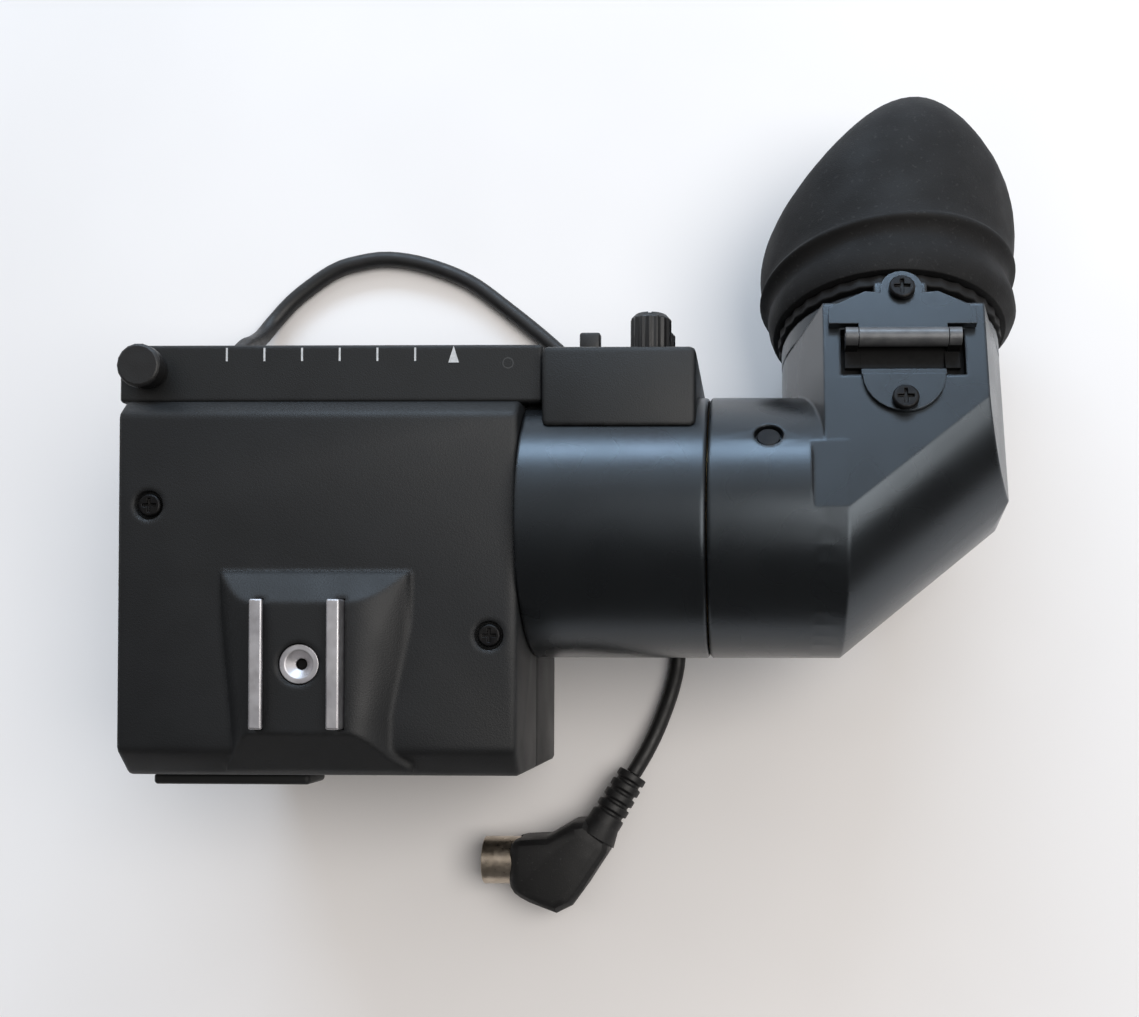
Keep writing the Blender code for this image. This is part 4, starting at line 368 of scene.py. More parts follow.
CASE = Finish(
    "case_plastic", (0.0072, 0.0078, 0.0084), (0.0090, 0.0096, 0.0102), (0.46, 0.56),
    patch_scale=28.0, grain_scale=2600.0, grain_height=0.00006, specular=0.38, edge_radius=0.0012,
    worn=(0.040, 0.042, 0.045), wear=0.4,
)
COVER = Finish(
    "cover_plastic", (0.0072, 0.0078, 0.0086), (0.0090, 0.0096, 0.0106), (0.46, 0.54),
    patch_scale=28.0, grain_scale=2600.0, grain_height=0.00005, specular=0.36, edge_radius=0.0021,
    worn=(0.040, 0.042, 0.045), wear=0.4,
)
PAINT = Finish(
    "anthracite_paint", (0.0055, 0.0059, 0.0064), (0.0070, 0.0075, 0.0081), (0.25, 0.31),
    patch_scale=22.0, grain_scale=4200.0, grain_height=0.00002, specular=0.66,
    tint=(0.76, 0.88, 1.0), edge_radius=0.0012, worn=(0.10, 0.112, 0.13), wear=0.25,
)
LEAF_PAINT = replace(PAINT, name="leaf_paint", edge_radius=0.0003)
RUBBER = Rubber(
    "eyecup_rubber", (0.0092, 0.0092, 0.0097), (0.0120, 0.0120, 0.0125), (0.62, 0.76),
    patch_scale=35.0, grain_scale=2400.0, grain_height=0.00008, specular=0.22, edge_radius=0.0006,
)
BOOT_RUBBER = Rubber(
    "boot_rubber", (0.0075, 0.0075, 0.0080), (0.0100, 0.0100, 0.0105), (0.45, 0.60),
    patch_scale=60.0, grain_scale=3000.0, grain_height=0.00004, specular=0.4, edge_radius=0.0005,
)
# Painted highlight: a colour much lighter than the anthracite paint stands in for the light along
# the rounded hinge bar and knuckle; the paler rubbed edges are wear.
HINGE_BAR_PAINTED_HIGHLIGHT = Finish(
    "hinge_bar_painted_highlight", (0.085, 0.088, 0.093), (0.115, 0.118, 0.124), (0.34, 0.44),
    patch_scale=260.0, grain_scale=4200.0, grain_height=0.00002, metallic=0.35, edge_radius=0.0003,
    worn=(0.20, 0.205, 0.21), wear=0.6,
)
# Near-black painted shade for the hinge pocket, the leaf's ramp into it and the mouth of the shoe
# bush's bore, where the recesses lie in shadow.
HINGE_WELL_PAINTED_SHADE = Finish(
    "hinge_well_painted_shade", (0.0022, 0.0022, 0.0024), (0.0032, 0.0032, 0.0034), (0.60, 0.72),
    patch_scale=260.0, grain_scale=4200.0, grain_height=0.00003, specular=0.2, edge_radius=0.0003,
)
GRIP_RING = Finish(
    "grip_ring_rubber", (0.0060, 0.0060, 0.0064), (0.0080, 0.0080, 0.0084), (0.58, 0.70),
    patch_scale=90.0, grain_scale=3600.0, specular=0.25, edge_radius=0.0005,
)
KNOB = Finish(
    "knob_plastic", (0.0070, 0.0070, 0.0075), (0.0095, 0.0095, 0.0100), (0.38, 0.50),
    patch_scale=90.0, grain_scale=3600.0, specular=0.45, rounded=False,
    worn=(0.030, 0.030, 0.032), wear=0.5,
)
STEEL = TurnedMetal(
    "brushed_steel", (0.58, 0.57, 0.59), (0.48, 0.47, 0.49), (0.42, 0.52),
    patch_scale=140.0, grain_scale=9000.0, grain_height=0.00001, metallic=1.0, edge_radius=0.0003,
)
BLACK_STEEL = Finish(
    "blackened_steel", (0.0085, 0.0085, 0.0095), (0.014, 0.0135, 0.0135), (0.34, 0.48),
    patch_scale=300.0, grain_scale=5000.0, grain_height=0.00002, metallic=0.8,
    worn=(0.12, 0.115, 0.11), wear=0.5, edge_radius=0.0002,
)
NICKEL = TurnedMetal(
    "nickel_plate", (0.60, 0.52, 0.43), (0.48, 0.41, 0.33), (0.26, 0.40),
    patch_scale=220.0, grain_scale=9000.0, grain_height=0.00001, metallic=1.0, edge_radius=0.0003,
    lines=(1.0, 0.05, 0.05),
)
BRASS = TurnedMetal(
    "turned_brass", (0.66, 0.47, 0.22), (0.52, 0.36, 0.16), (0.28, 0.42),
    patch_scale=180.0, grain_scale=9000.0, grain_height=0.00001, metallic=1.0,
    lines=(1.0, 1.0, 0.05),
)
COPPER = TurnedMetal(
    "copper_winding", (0.55, 0.22, 0.09), (0.42, 0.16, 0.07), (0.32, 0.46),
    patch_scale=180.0, grain_scale=2500.0, grain_height=0.0001, metallic=0.9,
    lines=(1.0, 0.08, 0.08),
)
TUBE_GLASS = Finish(
    "tube_glass", (0.22, 0.25, 0.245), (0.26, 0.29, 0.28), (0.08, 0.14),
    grain_scale=400.0, grain_height=0.00001, clear_coat=0.8, edge_radius=0.0008,
)
MIRROR = Finish(
    "silvered_mirror", (0.86, 0.88, 0.88), (0.80, 0.82, 0.83), (0.02, 0.06),
    patch_scale=60.0, grain_scale=300.0, grain_height=0.000002, metallic=1.0, edge_radius=0.0001,
)
BOARD = Finish(
    "circuit_board", (0.030, 0.14, 0.060), (0.045, 0.19, 0.085), (0.35, 0.50),
    patch_scale=600.0, grain_scale=1500.0, grain_height=0.00005, clear_coat=0.3,
)
RESIN = Finish(
    "moulded_resin", (0.022, 0.020, 0.018), (0.030, 0.027, 0.024), (0.42, 0.58),
    patch_scale=120.0, grain_scale=2600.0,
)
TALLY_RED = RibbedLens(
    "red_tally_lens", (0.16, 0.010, 0.010), (0.20, 0.014, 0.012), (0.10, 0.18),
    grain_height=0.0003, clear_coat=0.5, edge_radius=0.0003,
)
JACKET = Rubber(
    "cable_jacket", (0.0085, 0.0085, 0.0090), (0.0110, 0.0110, 0.0115), (0.42, 0.56),
    patch_scale=90.0, grain_scale=3600.0, grain_height=0.00002, specular=0.45, dust_share=0.12,
)
PRINT = Finish(
    "printed_marks", (0.56, 0.57, 0.58), (0.46, 0.47, 0.48), (0.50, 0.60),
    patch_scale=700.0, edge_radius=0.00005,
)
FAINT_PRINT = Finish(
    "faint_mark", (0.035, 0.036, 0.037), (0.028, 0.029, 0.030), (0.50, 0.60),
    patch_scale=700.0, edge_radius=0.00005,
)
LENS_GLASS = CoatedGlass("lens_glass", (0.97, 0.98, 0.99), (0.80, 0.72, 0.95))

DRESS: dict[Finish | CoatedGlass, tuple[str, ...]] = {
    CASE: ("bottom_cover", "rail_bar", "tally_frame", "control_box"),
    COVER: ("top_cover",),
    PAINT: ("crt_barrel", "elbow_housing", "eyepiece_collar"),
    LEAF_PAINT: ("hinge_leaf", "upper_leaf"),
    BOOT_RUBBER: ("cable_strain_relief", "plug_boot", "plug_body"),
    KNOB: (
        "stop_knob", "brightness_knob", "contrast_knob", "peaking_knob", "zebra_lever",
        "tally_lever", "lens_barrel",
    ),
    GRIP_RING: ("focus_ring", "eyecup_ring"),
    STEEL: (
        "shoe_rail_left", "shoe_rail_right", "shoe_bush", "stop_spring", "hinge_pin",
        "catch_spring",
    ),
    BLACK_STEEL: (
        "cover_screw_left", "cover_screw_right", "base_screw_1", "base_screw_2", "base_screw_3",
        "base_screw_4", "friction_screw", "leaf_screw", "upper_leaf_screw", "mirror_holder",
    ),
    NICKEL: ("plug_shell",),
    BRASS: ("stop_bush", "turn_bearing"),
    COPPER: ("deflection_yoke",),
    LENS_GLASS: ("front_lens", "rear_lens"),
    TUBE_GLASS: ("crt_tube",),
    MIRROR: ("mirror",),
    BOARD: ("main_board",),
    RESIN: (
        "high_voltage_transformer", "crt_holder", "crt_socket", "brightness_pot", "contrast_pot",
        "peaking_pot", "zebra_switch", "tally_switch", "plug_insert",
    ),
    TALLY_RED: ("tally_window", "tally_lamp"),
}


class Wardrobe:
    """Materials, each made once."""

    def __init__(self) -> None:
        """Start with no materials."""
        self.made: dict[str, Material] = {}

    def take(self, finish: Finish | CoatedGlass) -> Material:
        """Return the material of a finish."""
        if finish.name not in self.made:
            self.made[finish.name] = finish.build()
        return self.made[finish.name]

    def dress_nodes(self) -> None:
        """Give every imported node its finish."""
        for finish, names in DRESS.items():
            material = self.take(finish)
            for name in names:
                node = frame["nodes"][name]
                node.data.materials.clear()
                node.data.materials.append(material)
            LOG.info("finish %s on %d nodes", finish.name, len(names))


def placed(name: str, data: bpy.types.ID) -> Piece:
    """Return a new object of some data, linked into the scene."""
    piece = bpy.data.objects.new(name, data)
    bpy.context.scene.collection.objects.link(piece)
    return piece


def add_strip(bm: Form, width: float, length: float) -> list[bmesh.types.BMVert]:
    """Add a flat strip, wide along X and long along Y, and return its corners."""
    made = bmesh.ops.create_grid(bm, x_segments=1, y_segments=1, size=0.5)["verts"]
    bmesh.ops.scale(bm, vec=(width, length, 1.0), verts=made)
    return made


def put(name: str, bm: Form, material: Material, body: Body) -> Piece:
    """Make a smooth shaded piece of a bmesh and let it ride on a body.

    Args:
        name: The piece's name.
        bm: Its form, in the model's frame. It is freed.
        material: Its finish.
        body: The body that carries it.

    Returns:
        The new object.
    """
    bmesh.ops.recalc_face_normals(bm, faces=bm.faces)
    mesh = bpy.data.meshes.new(name)
    bm.to_mesh(mesh)
    bm.free()
    mesh.shade_smooth()
    mesh.set_sharp_from_angle(angle=SMOOTH_TURN)
    mesh.materials.append(material)
    piece = placed(name, mesh)
    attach(piece, body.value)
    return piece


def joint_facts(name: str) -> dict[str, object]:
    """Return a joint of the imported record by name."""
    return next(joint for joint in frame["joints"] if joint["name"] == name)


@dataclass(frozen=True)
class EdgeWork:
    """How the edges of a solid are broken, and how its faces are shaded.

    The width is in metres. An edge is broken where its faces turn by the least
    angle or more, and flats are found within the flat angle.
    """

    width: float = 0.0003
    steps: int = 2
    least_turn: float = math.radians(30)
    flat: float = math.radians(0.6)


@dataclass
class ShoeMound:
    """Rounding of the two flanks of the mound that carries the accessory shoe.

    A flank is cut into strips, which are raised into an arch. The ends of the
    strips slide along the mound's end slopes, whose edges become bows. The foot's
    rise is height over length, and the slides are the end slopes' run over fall.
    The shares are of a face's unit normal.
    """

    top: float = 0.0950
    cover_top: float = 0.0890
    back_foot: Band = (0.0039, 0.0902)
    foot_rise: float = 4.3 / 51.3
    flanks: tuple[Band, ...] = ((-0.0143, -0.0242), (0.0101, 0.0242))
    strips: int = 8
    back_slide: float = -8.0 / 4.8
    front_slide: float = 10.4 / 9.1
    middle_y: float = -0.0200
    above: float = 0.0001
    level_share: float = 0.05
    slope_share: float = 0.3
    up_share: float = 0.5
    cut_reach: float = 1e-7

    def is_flank(self, face: bmesh.types.BMFace) -> bool:
        """Return whether a face of the cover belongs to a flank."""
        high = max(vert.co.z for vert in face.verts)
        aside = abs(face.normal.x) > self.slope_share and face.normal.z > self.up_share
        return high > self.cover_top + self.above and aside

    def is_end(self, face: bmesh.types.BMFace) -> bool:
        """Return whether a face belongs to one of the end slopes."""
        level = abs(face.normal.x) < self.level_share
        return level and abs(face.normal.y) > self.slope_share

    def lift(self, place: Vector) -> float:
        """Return how far a point of a flank rises into the arch."""
        foot_y, foot_z = self.back_foot
        foot = max(self.cover_top, foot_z + (place.y - foot_y) * self.foot_rise)
        share = max(0.0, min(1.0, (self.top - place.z) / (self.top - foot)))
        return (self.top - foot) * (math.cos(share * math.pi / 2) - 1 + share)

    def round_flanks(self, bm: Form) -> None:
        """Cut the flanks into strips and raise them.

        Args:
            bm: The cover's merged form.
        """
        bm.normal_update()
        for inner, outer in self.flanks:
            for step in range(1, self.strips):
                x = inner + (outer - inner) * step / self.strips
                faces = [face for face in bm.faces if self.is_flank(face) and face.normal.x * x > 0]
                edges = list({edge for face in faces for edge in face.edges})
                verts = list({vert for face in faces for vert in face.verts})
                bmesh.ops.bisect_plane(
                    bm, geom=verts + edges + faces, dist=self.cut_reach, plane_co=(x, 0, 0),
                    plane_no=(1, 0, 0),
                )
        verts = {vert for face in bm.faces if self.is_flank(face) for vert in face.verts}
        ends = {vert: any(self.is_end(face) for face in vert.link_faces) for vert in verts}
        for vert in verts:
            rise = self.lift(vert.co)
            if ends[vert]:
                back = vert.co.y > self.middle_y
                vert.co.y += rise * (self.back_slide if back else self.front_slide)
            vert.co.z += rise
        bm.normal_update()


Zone = tuple[str, Finish, Place, Place]


@dataclass
class CastParts:
    """Solids of the model with their seams merged and their edges broken."""

    mound: ShoeMound = field(default_factory=ShoeMound)
    weld: float = 0.000002
    elbow_tilt: float = math.radians(-18)
    elbow_centre: Place = (0.0, 0.0180, 0.0595)
    # Boxes in the elbow's frame that get other finishes: painted shade in the hinge pocket and on
    # the leaf's ramp, and a painted highlight on the hinge bar and the upper leaf's knuckle.
    zones: tuple[Zone, ...] = (
        ("hinge_leaf", HINGE_WELL_PAINTED_SHADE, (0.10, 0.0278, 0.0300), (0.20, 0.0420, 0.03465)),
        ("elbow_housing", HINGE_WELL_PAINTED_SHADE, (0.1335, 0.0279, 0.0312), (0.1670, 0.0420, 0.03435)),
        ("hinge_leaf", HINGE_BAR_PAINTED_HIGHLIGHT, (0.10, 0.0352, 0.03466), (0.20, 0.0414, 0.0400)),
        ("upper_leaf", HINGE_BAR_PAINTED_HIGHLIGHT, (0.138, 0.0352, 0.0332), (0.1626, 0.0414, 0.0400)),
    )
    # Painted shade in the mouth of the shoe bush's bore.
    painted_bore_shade: Zone = (
        "shoe_bush", HINGE_WELL_PAINTED_SHADE, (-0.0037, -0.0212, 0.0911), (-0.0005, -0.0180, 0.0928),
    )
    work: dict[EdgeWork, tuple[str, ...]] = field(default_factory=lambda: {
        EdgeWork(0.0008, 3): ("top_cover", "bottom_cover", "control_box", "rail_bar"),
        EdgeWork(0.0006, 3): ("crt_barrel", "eyepiece_collar", "plug_body"),
        EdgeWork(0.0, 0, math.radians(12.5)): ("elbow_housing",),
        EdgeWork(0.0003, 2): (
            "hinge_leaf", "upper_leaf", "stop_knob", "brightness_knob", "contrast_knob",
            "peaking_knob", "zebra_lever", "tally_lever", "focus_ring", "eyecup_ring",
            "tally_frame", "cable_strain_relief", "plug_boot",
        ),
        EdgeWork(0.00015, 2): (
            "shoe_rail_left", "shoe_rail_right", "shoe_bush", "stop_bush", "cover_screw_left",
            "cover_screw_right", "friction_screw", "leaf_screw", "upper_leaf_screw", "hinge_pin",
            "plug_shell", "plug_insert", "base_screw_1", "base_screw_2", "base_screw_3",
            "base_screw_4",
        ),
    })

    def merged(self, name: str, flat: float) -> Form:
        """Return a node's form with its seams merged and its flats whole.

        Args:
            name: The node.
            flat: The greatest turn between faces that count as one flat.

        Returns:
            The merged form.
        """
        bm = bmesh.new()
        bm.from_mesh(frame["nodes"][name].data)
        bmesh.ops.remove_doubles(bm, verts=bm.verts, dist=self.weld)
        bmesh.ops.dissolve_limit(bm, angle_limit=flat, verts=bm.verts, edges=bm.edges)
        if name == "top_cover":
            self.mound.round_flanks(bm)
        return bm

    def build(self, name: str, edges: EdgeWork, material: Material) -> Piece:
        """Make one piece in the place of its node.

        Args:
            name: The node.
            edges: How its edges are broken.
            material: Its finish.

        Returns:
            The piece.
        """
        bm = self.merged(name, edges.flat)
        mesh = bpy.data.meshes.new(f"{name}_cast")
        bm.to_mesh(mesh)
        bm.free()
        if "custom_normal" in mesh.attributes:
            mesh.attributes.remove(mesh.attributes["custom_normal"])
        mesh.shade_smooth()
        mesh.set_sharp_from_angle(angle=edges.least_turn)
        mesh.materials.append(material)
        for face in mesh.polygons:
            face.material_index = 0
        piece = placed(f"{name}_cast", mesh)
        if edges.steps:
            self.break_edges(piece, edges)
        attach(piece, frame["nodes"][name]["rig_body"])
        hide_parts(name)
        return piece

    def break_edges(self, piece: Piece, edges: EdgeWork) -> None:
        """Round off a piece's corners by a small width."""
        broken = piece.modifiers.new("broken_edges", "BEVEL")
        broken.width = edges.width
        broken.segments = edges.steps
        broken.limit_method = "ANGLE"
        broken.angle_limit = edges.least_turn

    def finish_zone(
        self, piece: Piece, material: Material, low: Vector, high: Vector, level: Matrix,
    ) -> None:
        """Give the faces inside a box another finish.

        Args:
            piece: The piece.
            material: The other finish.
            low: The box's lowest corner.
            high: Its highest corner.
            level: The turn into the box's own frame.
        """
        piece.data.materials.append(material)
        for face in piece.data.polygons:
            place = level @ face.center
            if all(low[i] <= place[i] <= high[i] for i in range(3)):
                face.material_index = len(piece.data.materials) - 1

    def build_all(self, wardrobe: Wardrobe) -> list[Piece]:
        """Make every piece of the table with its node's finish.

        Args:
            wardrobe: The materials.

        Returns:
            The pieces.
        """
        finish_of = {name: finish for finish, names in DRESS.items() for name in names}
        pieces = {
            name: self.build(name, edges, wardrobe.take(finish_of[name]))
            for edges, names in self.work.items() for name in names
        }
        centre = Matrix.Translation(-Vector(self.elbow_centre))
        level = Matrix.Rotation(-self.elbow_tilt, 4, "X") @ centre
        for name, finish, low, high in self.zones:
            self.finish_zone(pieces[name], wardrobe.take(finish), Vector(low), Vector(high), level)
        name, finish, low, high = self.painted_bore_shade
        self.finish_zone(pieces[name], wardrobe.take(finish), Vector(low), Vector(high), Matrix())
        return list(pieces.values())


@dataclass
class StopSpring:
    """Coil spring of the stop knob, which is pressed together as the knob is pulled."""

    joint: str = "stop_knob_pull"
    edges: EdgeWork = EdgeWork(0.0, 0, math.radians(50))

    def build(self, cast: CastParts, material: Material) -> Piece:
        """Make the spring from its node, with a mesh of its own.

        Args:
            cast: The maker of merged solids.
            material: The spring's steel.

        Returns:
            The spring.
        """
        piece = cast.build("stop_spring", self.edges, material)
        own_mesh(piece)
        return piece


@dataclass
class SignalCable:
    """Free cable from the housing's back wall to the angled plug."""

    diameter: float = 0.0050
    step: float = 0.0030
    sides: int = 6
    route: tuple[Place, ...] = (
        (-0.0440, 0.0640, 0.0360), (-0.0440, 0.0695, 0.0350), (-0.0448, 0.0748, 0.0304),
        (-0.0459, 0.0786, 0.0234), (-0.0469, 0.0816, 0.0154), (-0.0472, 0.0855, 0.0082),
        (-0.0455, 0.0908, 0.0040), (-0.0382, 0.0995, 0.0027), (-0.0263, 0.1081, 0.0026),
        (-0.0173, 0.1111, 0.0026), (-0.0075, 0.1122, 0.0026), (0.0048, 0.1101, 0.0026),
        (0.0187, 0.1046, 0.0026), (0.0316, 0.0953, 0.0026), (0.0455, 0.0840, 0.0026),
        (0.0576, 0.0724, 0.0026), (0.0684, 0.0592, 0.0026), (0.0768, 0.0445, 0.0026),
        (0.0826, 0.0288, 0.0026), (0.0858, 0.0124, 0.0026), (0.0872, -0.0030, 0.0026),
        (0.0872, -0.0176, 0.0026), (0.0859, -0.0257, 0.0027), (0.0837, -0.0331, 0.0034),
        (0.0806, -0.0413, 0.0050), (0.0770, -0.0488, 0.0067), (0.0734, -0.0549, 0.0080),
    )
    pieces_on_it: tuple[str, ...] = (
        "plug_boot_cast", "plug_body_cast", "plug_shell_cast", "plug_insert_cast",
    )
    neck_start: float = 0.0178
    neck_length: float = 0.0056
    neck_radii: Band = (0.0052, 0.0068)
    neck_sides: int = 48

    def line(self) -> list[Vector]:
        """Return points on a Catmull-Rom curve through the route."""
        places = [Vector(place) for place in self.route]
        places = [places[0] * 2 - places[1], *places, places[-1] * 2 - places[-2]]
        points = []
        for a, b, c, d in zip(places, places[1:], places[2:], places[3:]):
            count = max(1, round((c - b).length / self.step))
            for number in range(count):
                t = number / count
                bend = (2 * a - 5 * b + 4 * c - d) * t**2 + (3 * b - a - 3 * c + d) * t**3
                points.append((2 * b + (c - a) * t + bend) / 2)
        points.append(places[-2])
        return points

    def build_neck(self, rubber: Material) -> Piece:
        """Make the moulded neck that joins the ribbed boot to the plug's body.

        Args:
            rubber: The boot's finish.

        Returns:
            The neck.
        """
        end = Vector(self.route[-1])
        along = (end - Vector(self.route[-2])).normalized()
        near, far = self.neck_radii
        bm = bmesh.new()
        bmesh.ops.create_cone(
            bm, cap_ends=True, segments=self.neck_sides, radius1=near, radius2=far,
            depth=self.neck_length,
        )
        middle = end + along * (self.neck_start + self.neck_length / 2)
        turn = along.to_track_quat("Z", "Y").to_matrix().to_4x4()
        bmesh.ops.transform(bm, matrix=Matrix.Translation(middle) @ turn, verts=bm.verts)
        piece = put("plug_neck", bm, rubber, Body.HOUSING)
        return piece

    def build(self, material: Material, rubber: Material) -> Piece:
        """Args:
            material: The jacket's finish.
            rubber: The boot's finish.

        Returns:
            The cable, a curve of one spline.
        """
        points = self.line()
        curve = bpy.data.curves.new("signal_cable", "CURVE")
        curve.dimensions = "3D"
        curve.bevel_depth = self.diameter / 2
        curve.bevel_resolution = self.sides
        curve.use_fill_caps = True
        spline = curve.splines.new("POLY")
        spline.points.add(len(points) - 1)
        for point, place in zip(spline.points, points):
            point.co = (*place, 1.0)
        curve.materials.append(material)
        piece = placed("signal_cable", curve)
        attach(piece, Body.HOUSING.value)
        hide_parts("cable")
        fittings = [bpy.data.objects[name] for name in self.pieces_on_it]
        fittings.append(self.build_neck(rubber))
        return piece


@dataclass
class Eyecup:
    """Rubber cup with a raised bead and a long hood to one side.

    Distances along it are from the middle of the elbow, on the eyepiece's axis. The
    record's joint stands on that axis at the joint place.
    """

    sides: int = 72
    wall: float = 0.0024
    skirt: tuple[Band, ...] = (
        (0.0607, 0.0336), (0.0615, 0.0341), (0.0636, 0.0348), (0.0658, 0.0352), (0.0680, 0.0350),
        (0.0702, 0.0346), (0.0722, 0.0349), (0.0736, 0.0357), (0.0744, 0.0366), (0.0750, 0.0374),
        (0.0756, 0.0376), (0.0762, 0.0374), (0.0768, 0.0369), (0.0776, 0.0366),
    )
    inner_from: int = 7
    ridge_swell: float = 0.0018
    ridge_place: float = 0.0668
    ridge_reach: float = 0.0052
    hood: tuple[Band, ...] = (
        (0.08, 1.0), (0.20, 1.0), (0.34, 0.999), (0.48, 0.997), (0.60, 0.989), (0.71, 0.969),
        (0.81, 0.932), (0.90, 0.880), (0.96, 0.832), (0.99, 0.803),
    )
    hood_radius: float = 0.0367
    short_rim: float = 0.0870
    long_rim: float = 0.1233
    rim_share: float = 0.790
    wing_angle: float = math.radians(66.8)
    wing_powers: Band = (1.30, 1.92)
    side_swells: Band = (0.0016, 0.0008)
    low_dent: float = 0.0014
    swell_share: float = 1.2
    slant: float = 0.0035
    slant_start: float = 0.0660
    slant_end: float = 0.0755
    hood_start: float = 0.0776
    socket_radius: float = 0.0313
    socket_end: float = 0.0663
    lip_round: float = 0.0003
    joint_place: float = 0.0633

    def along(self, s: float, angle: float) -> float:
        """Return a station that leans with the bead."""
        share = max(0.0, min(1.0, (s - self.slant_start) / (self.slant_end - self.slant_start)))
        return s + self.slant * math.cos(angle) * share

    def rim(self, angle: float) -> float:
        """Return how far the hood reaches at an angle."""
        near, far = self.wing_powers
        past = math.sin(angle - self.wing_angle) > 0
        share = ((1 + math.cos(angle - self.wing_angle)) / 2) ** (far if past else near)
        return self.short_rim + (self.long_rim - self.short_rim) * share

    def hood_place(self, angle: float, reach: float) -> float:
        """Return the station at a share of the hood's reach."""
        start = self.along(self.hood_start, angle)
        return start + (self.rim(angle) - start) * reach

    def hood_size(self, angle: float, reach: float, share: float) -> float:
        """Return the hood's radius at an angle and a share of its reach."""
        wave = math.sin(math.pi * min(1.0, reach * self.swell_share))
        side = self.side_swells[0] if math.cos(angle) > 0 else self.side_swells[1]
        swell = side * math.cos(angle) ** 2 - self.low_dent * max(0.0, -math.sin(angle)) ** 2
        return self.hood_radius * share + swell * wave

    def ring(self, bm: Form, place: SizeOf, size: SizeOf) -> Edges:
        """Add one ring.

        Args:
            bm: The form that the ring joins.
            place: The station at an angle.
            size: The radius at an angle.

        Returns:
            The ring's edges.
        """
        made = bmesh.ops.create_circle(bm, segments=self.sides, radius=1.0)["verts"]
        for vert in made:
            angle = math.atan2(vert.co.y, vert.co.x)
            radius = size(angle)
            vert.co = (radius * math.cos(angle), place(angle), radius * math.sin(angle))
        return list({edge for vert in made for edge in vert.link_edges})

    def skirt_ring(self, bm: Form, s: float, radius: float) -> Edges:
        """Add a ring of the skirt that leans with the bead and swells on the right."""
        near = max(0.0, 1 - ((s - self.ridge_place) / self.ridge_reach) ** 2)
        return self.ring(
            bm, lambda angle: self.along(s, angle),
            lambda angle: radius + self.ridge_swell * near * max(0.0, math.cos(angle)) ** 2,
        )

    def hood_ring(
        self, bm: Form, reach: float, share: float, inset: float,
    ) -> Edges:
        """Add a ring of the hood at a share of its reach."""
        return self.ring(
            bm, lambda angle: self.hood_place(angle, reach),
            lambda angle: self.hood_size(angle, reach, share) - inset,
        )

    def form(self) -> Form:
        """Return the closed shell, in the eyepiece's own frame."""
        bm = bmesh.new()
        loops = [self.skirt_ring(bm, s, radius) for s, radius in self.skirt]
        loops += [self.hood_ring(bm, reach, share, 0.0) for reach, share in self.hood]
        for inset in (self.lip_round, 0.5 * self.wall, self.wall - self.lip_round):
            loops.append(self.hood_ring(bm, 1.0, self.rim_share, inset))
        for reach, share in reversed(self.hood):
            loops.append(self.hood_ring(bm, reach, share, self.wall))
        for s, radius in reversed(self.skirt[self.inner_from:]):
            loops.append(self.skirt_ring(bm, s, radius - self.wall))
        for s in (self.socket_end, self.skirt[0][0]):
            loops.append(self.skirt_ring(bm, s, self.socket_radius))
        for first, second in zip(loops, loops[1:] + loops[:1]):
            bmesh.ops.bridge_loops(bm, edges=first + second)
        return bm

    def build(self, material: Material) -> Piece:
        """Make the cup on the eyepiece's axis.

        Args:
            material: The rubber.

        Returns:
            The cup.
        """
        facts = joint_facts("eyecup_turn")
        along = Vector(facts["axis"]).normalized()
        across = Vector((1, 0, 0))
        up = across.cross(along)
        origin = Vector(facts["pos_m"]) - along * self.joint_place
        turn = Matrix((across, along, up)).transposed().to_4x4()
        bm = self.form()
        bmesh.ops.transform(bm, matrix=Matrix.Translation(origin) @ turn, verts=bm.verts)
        piece = put("rubber_eyecup", bm, material, Body.EYECUP)
        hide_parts("eyecup")
        return piece


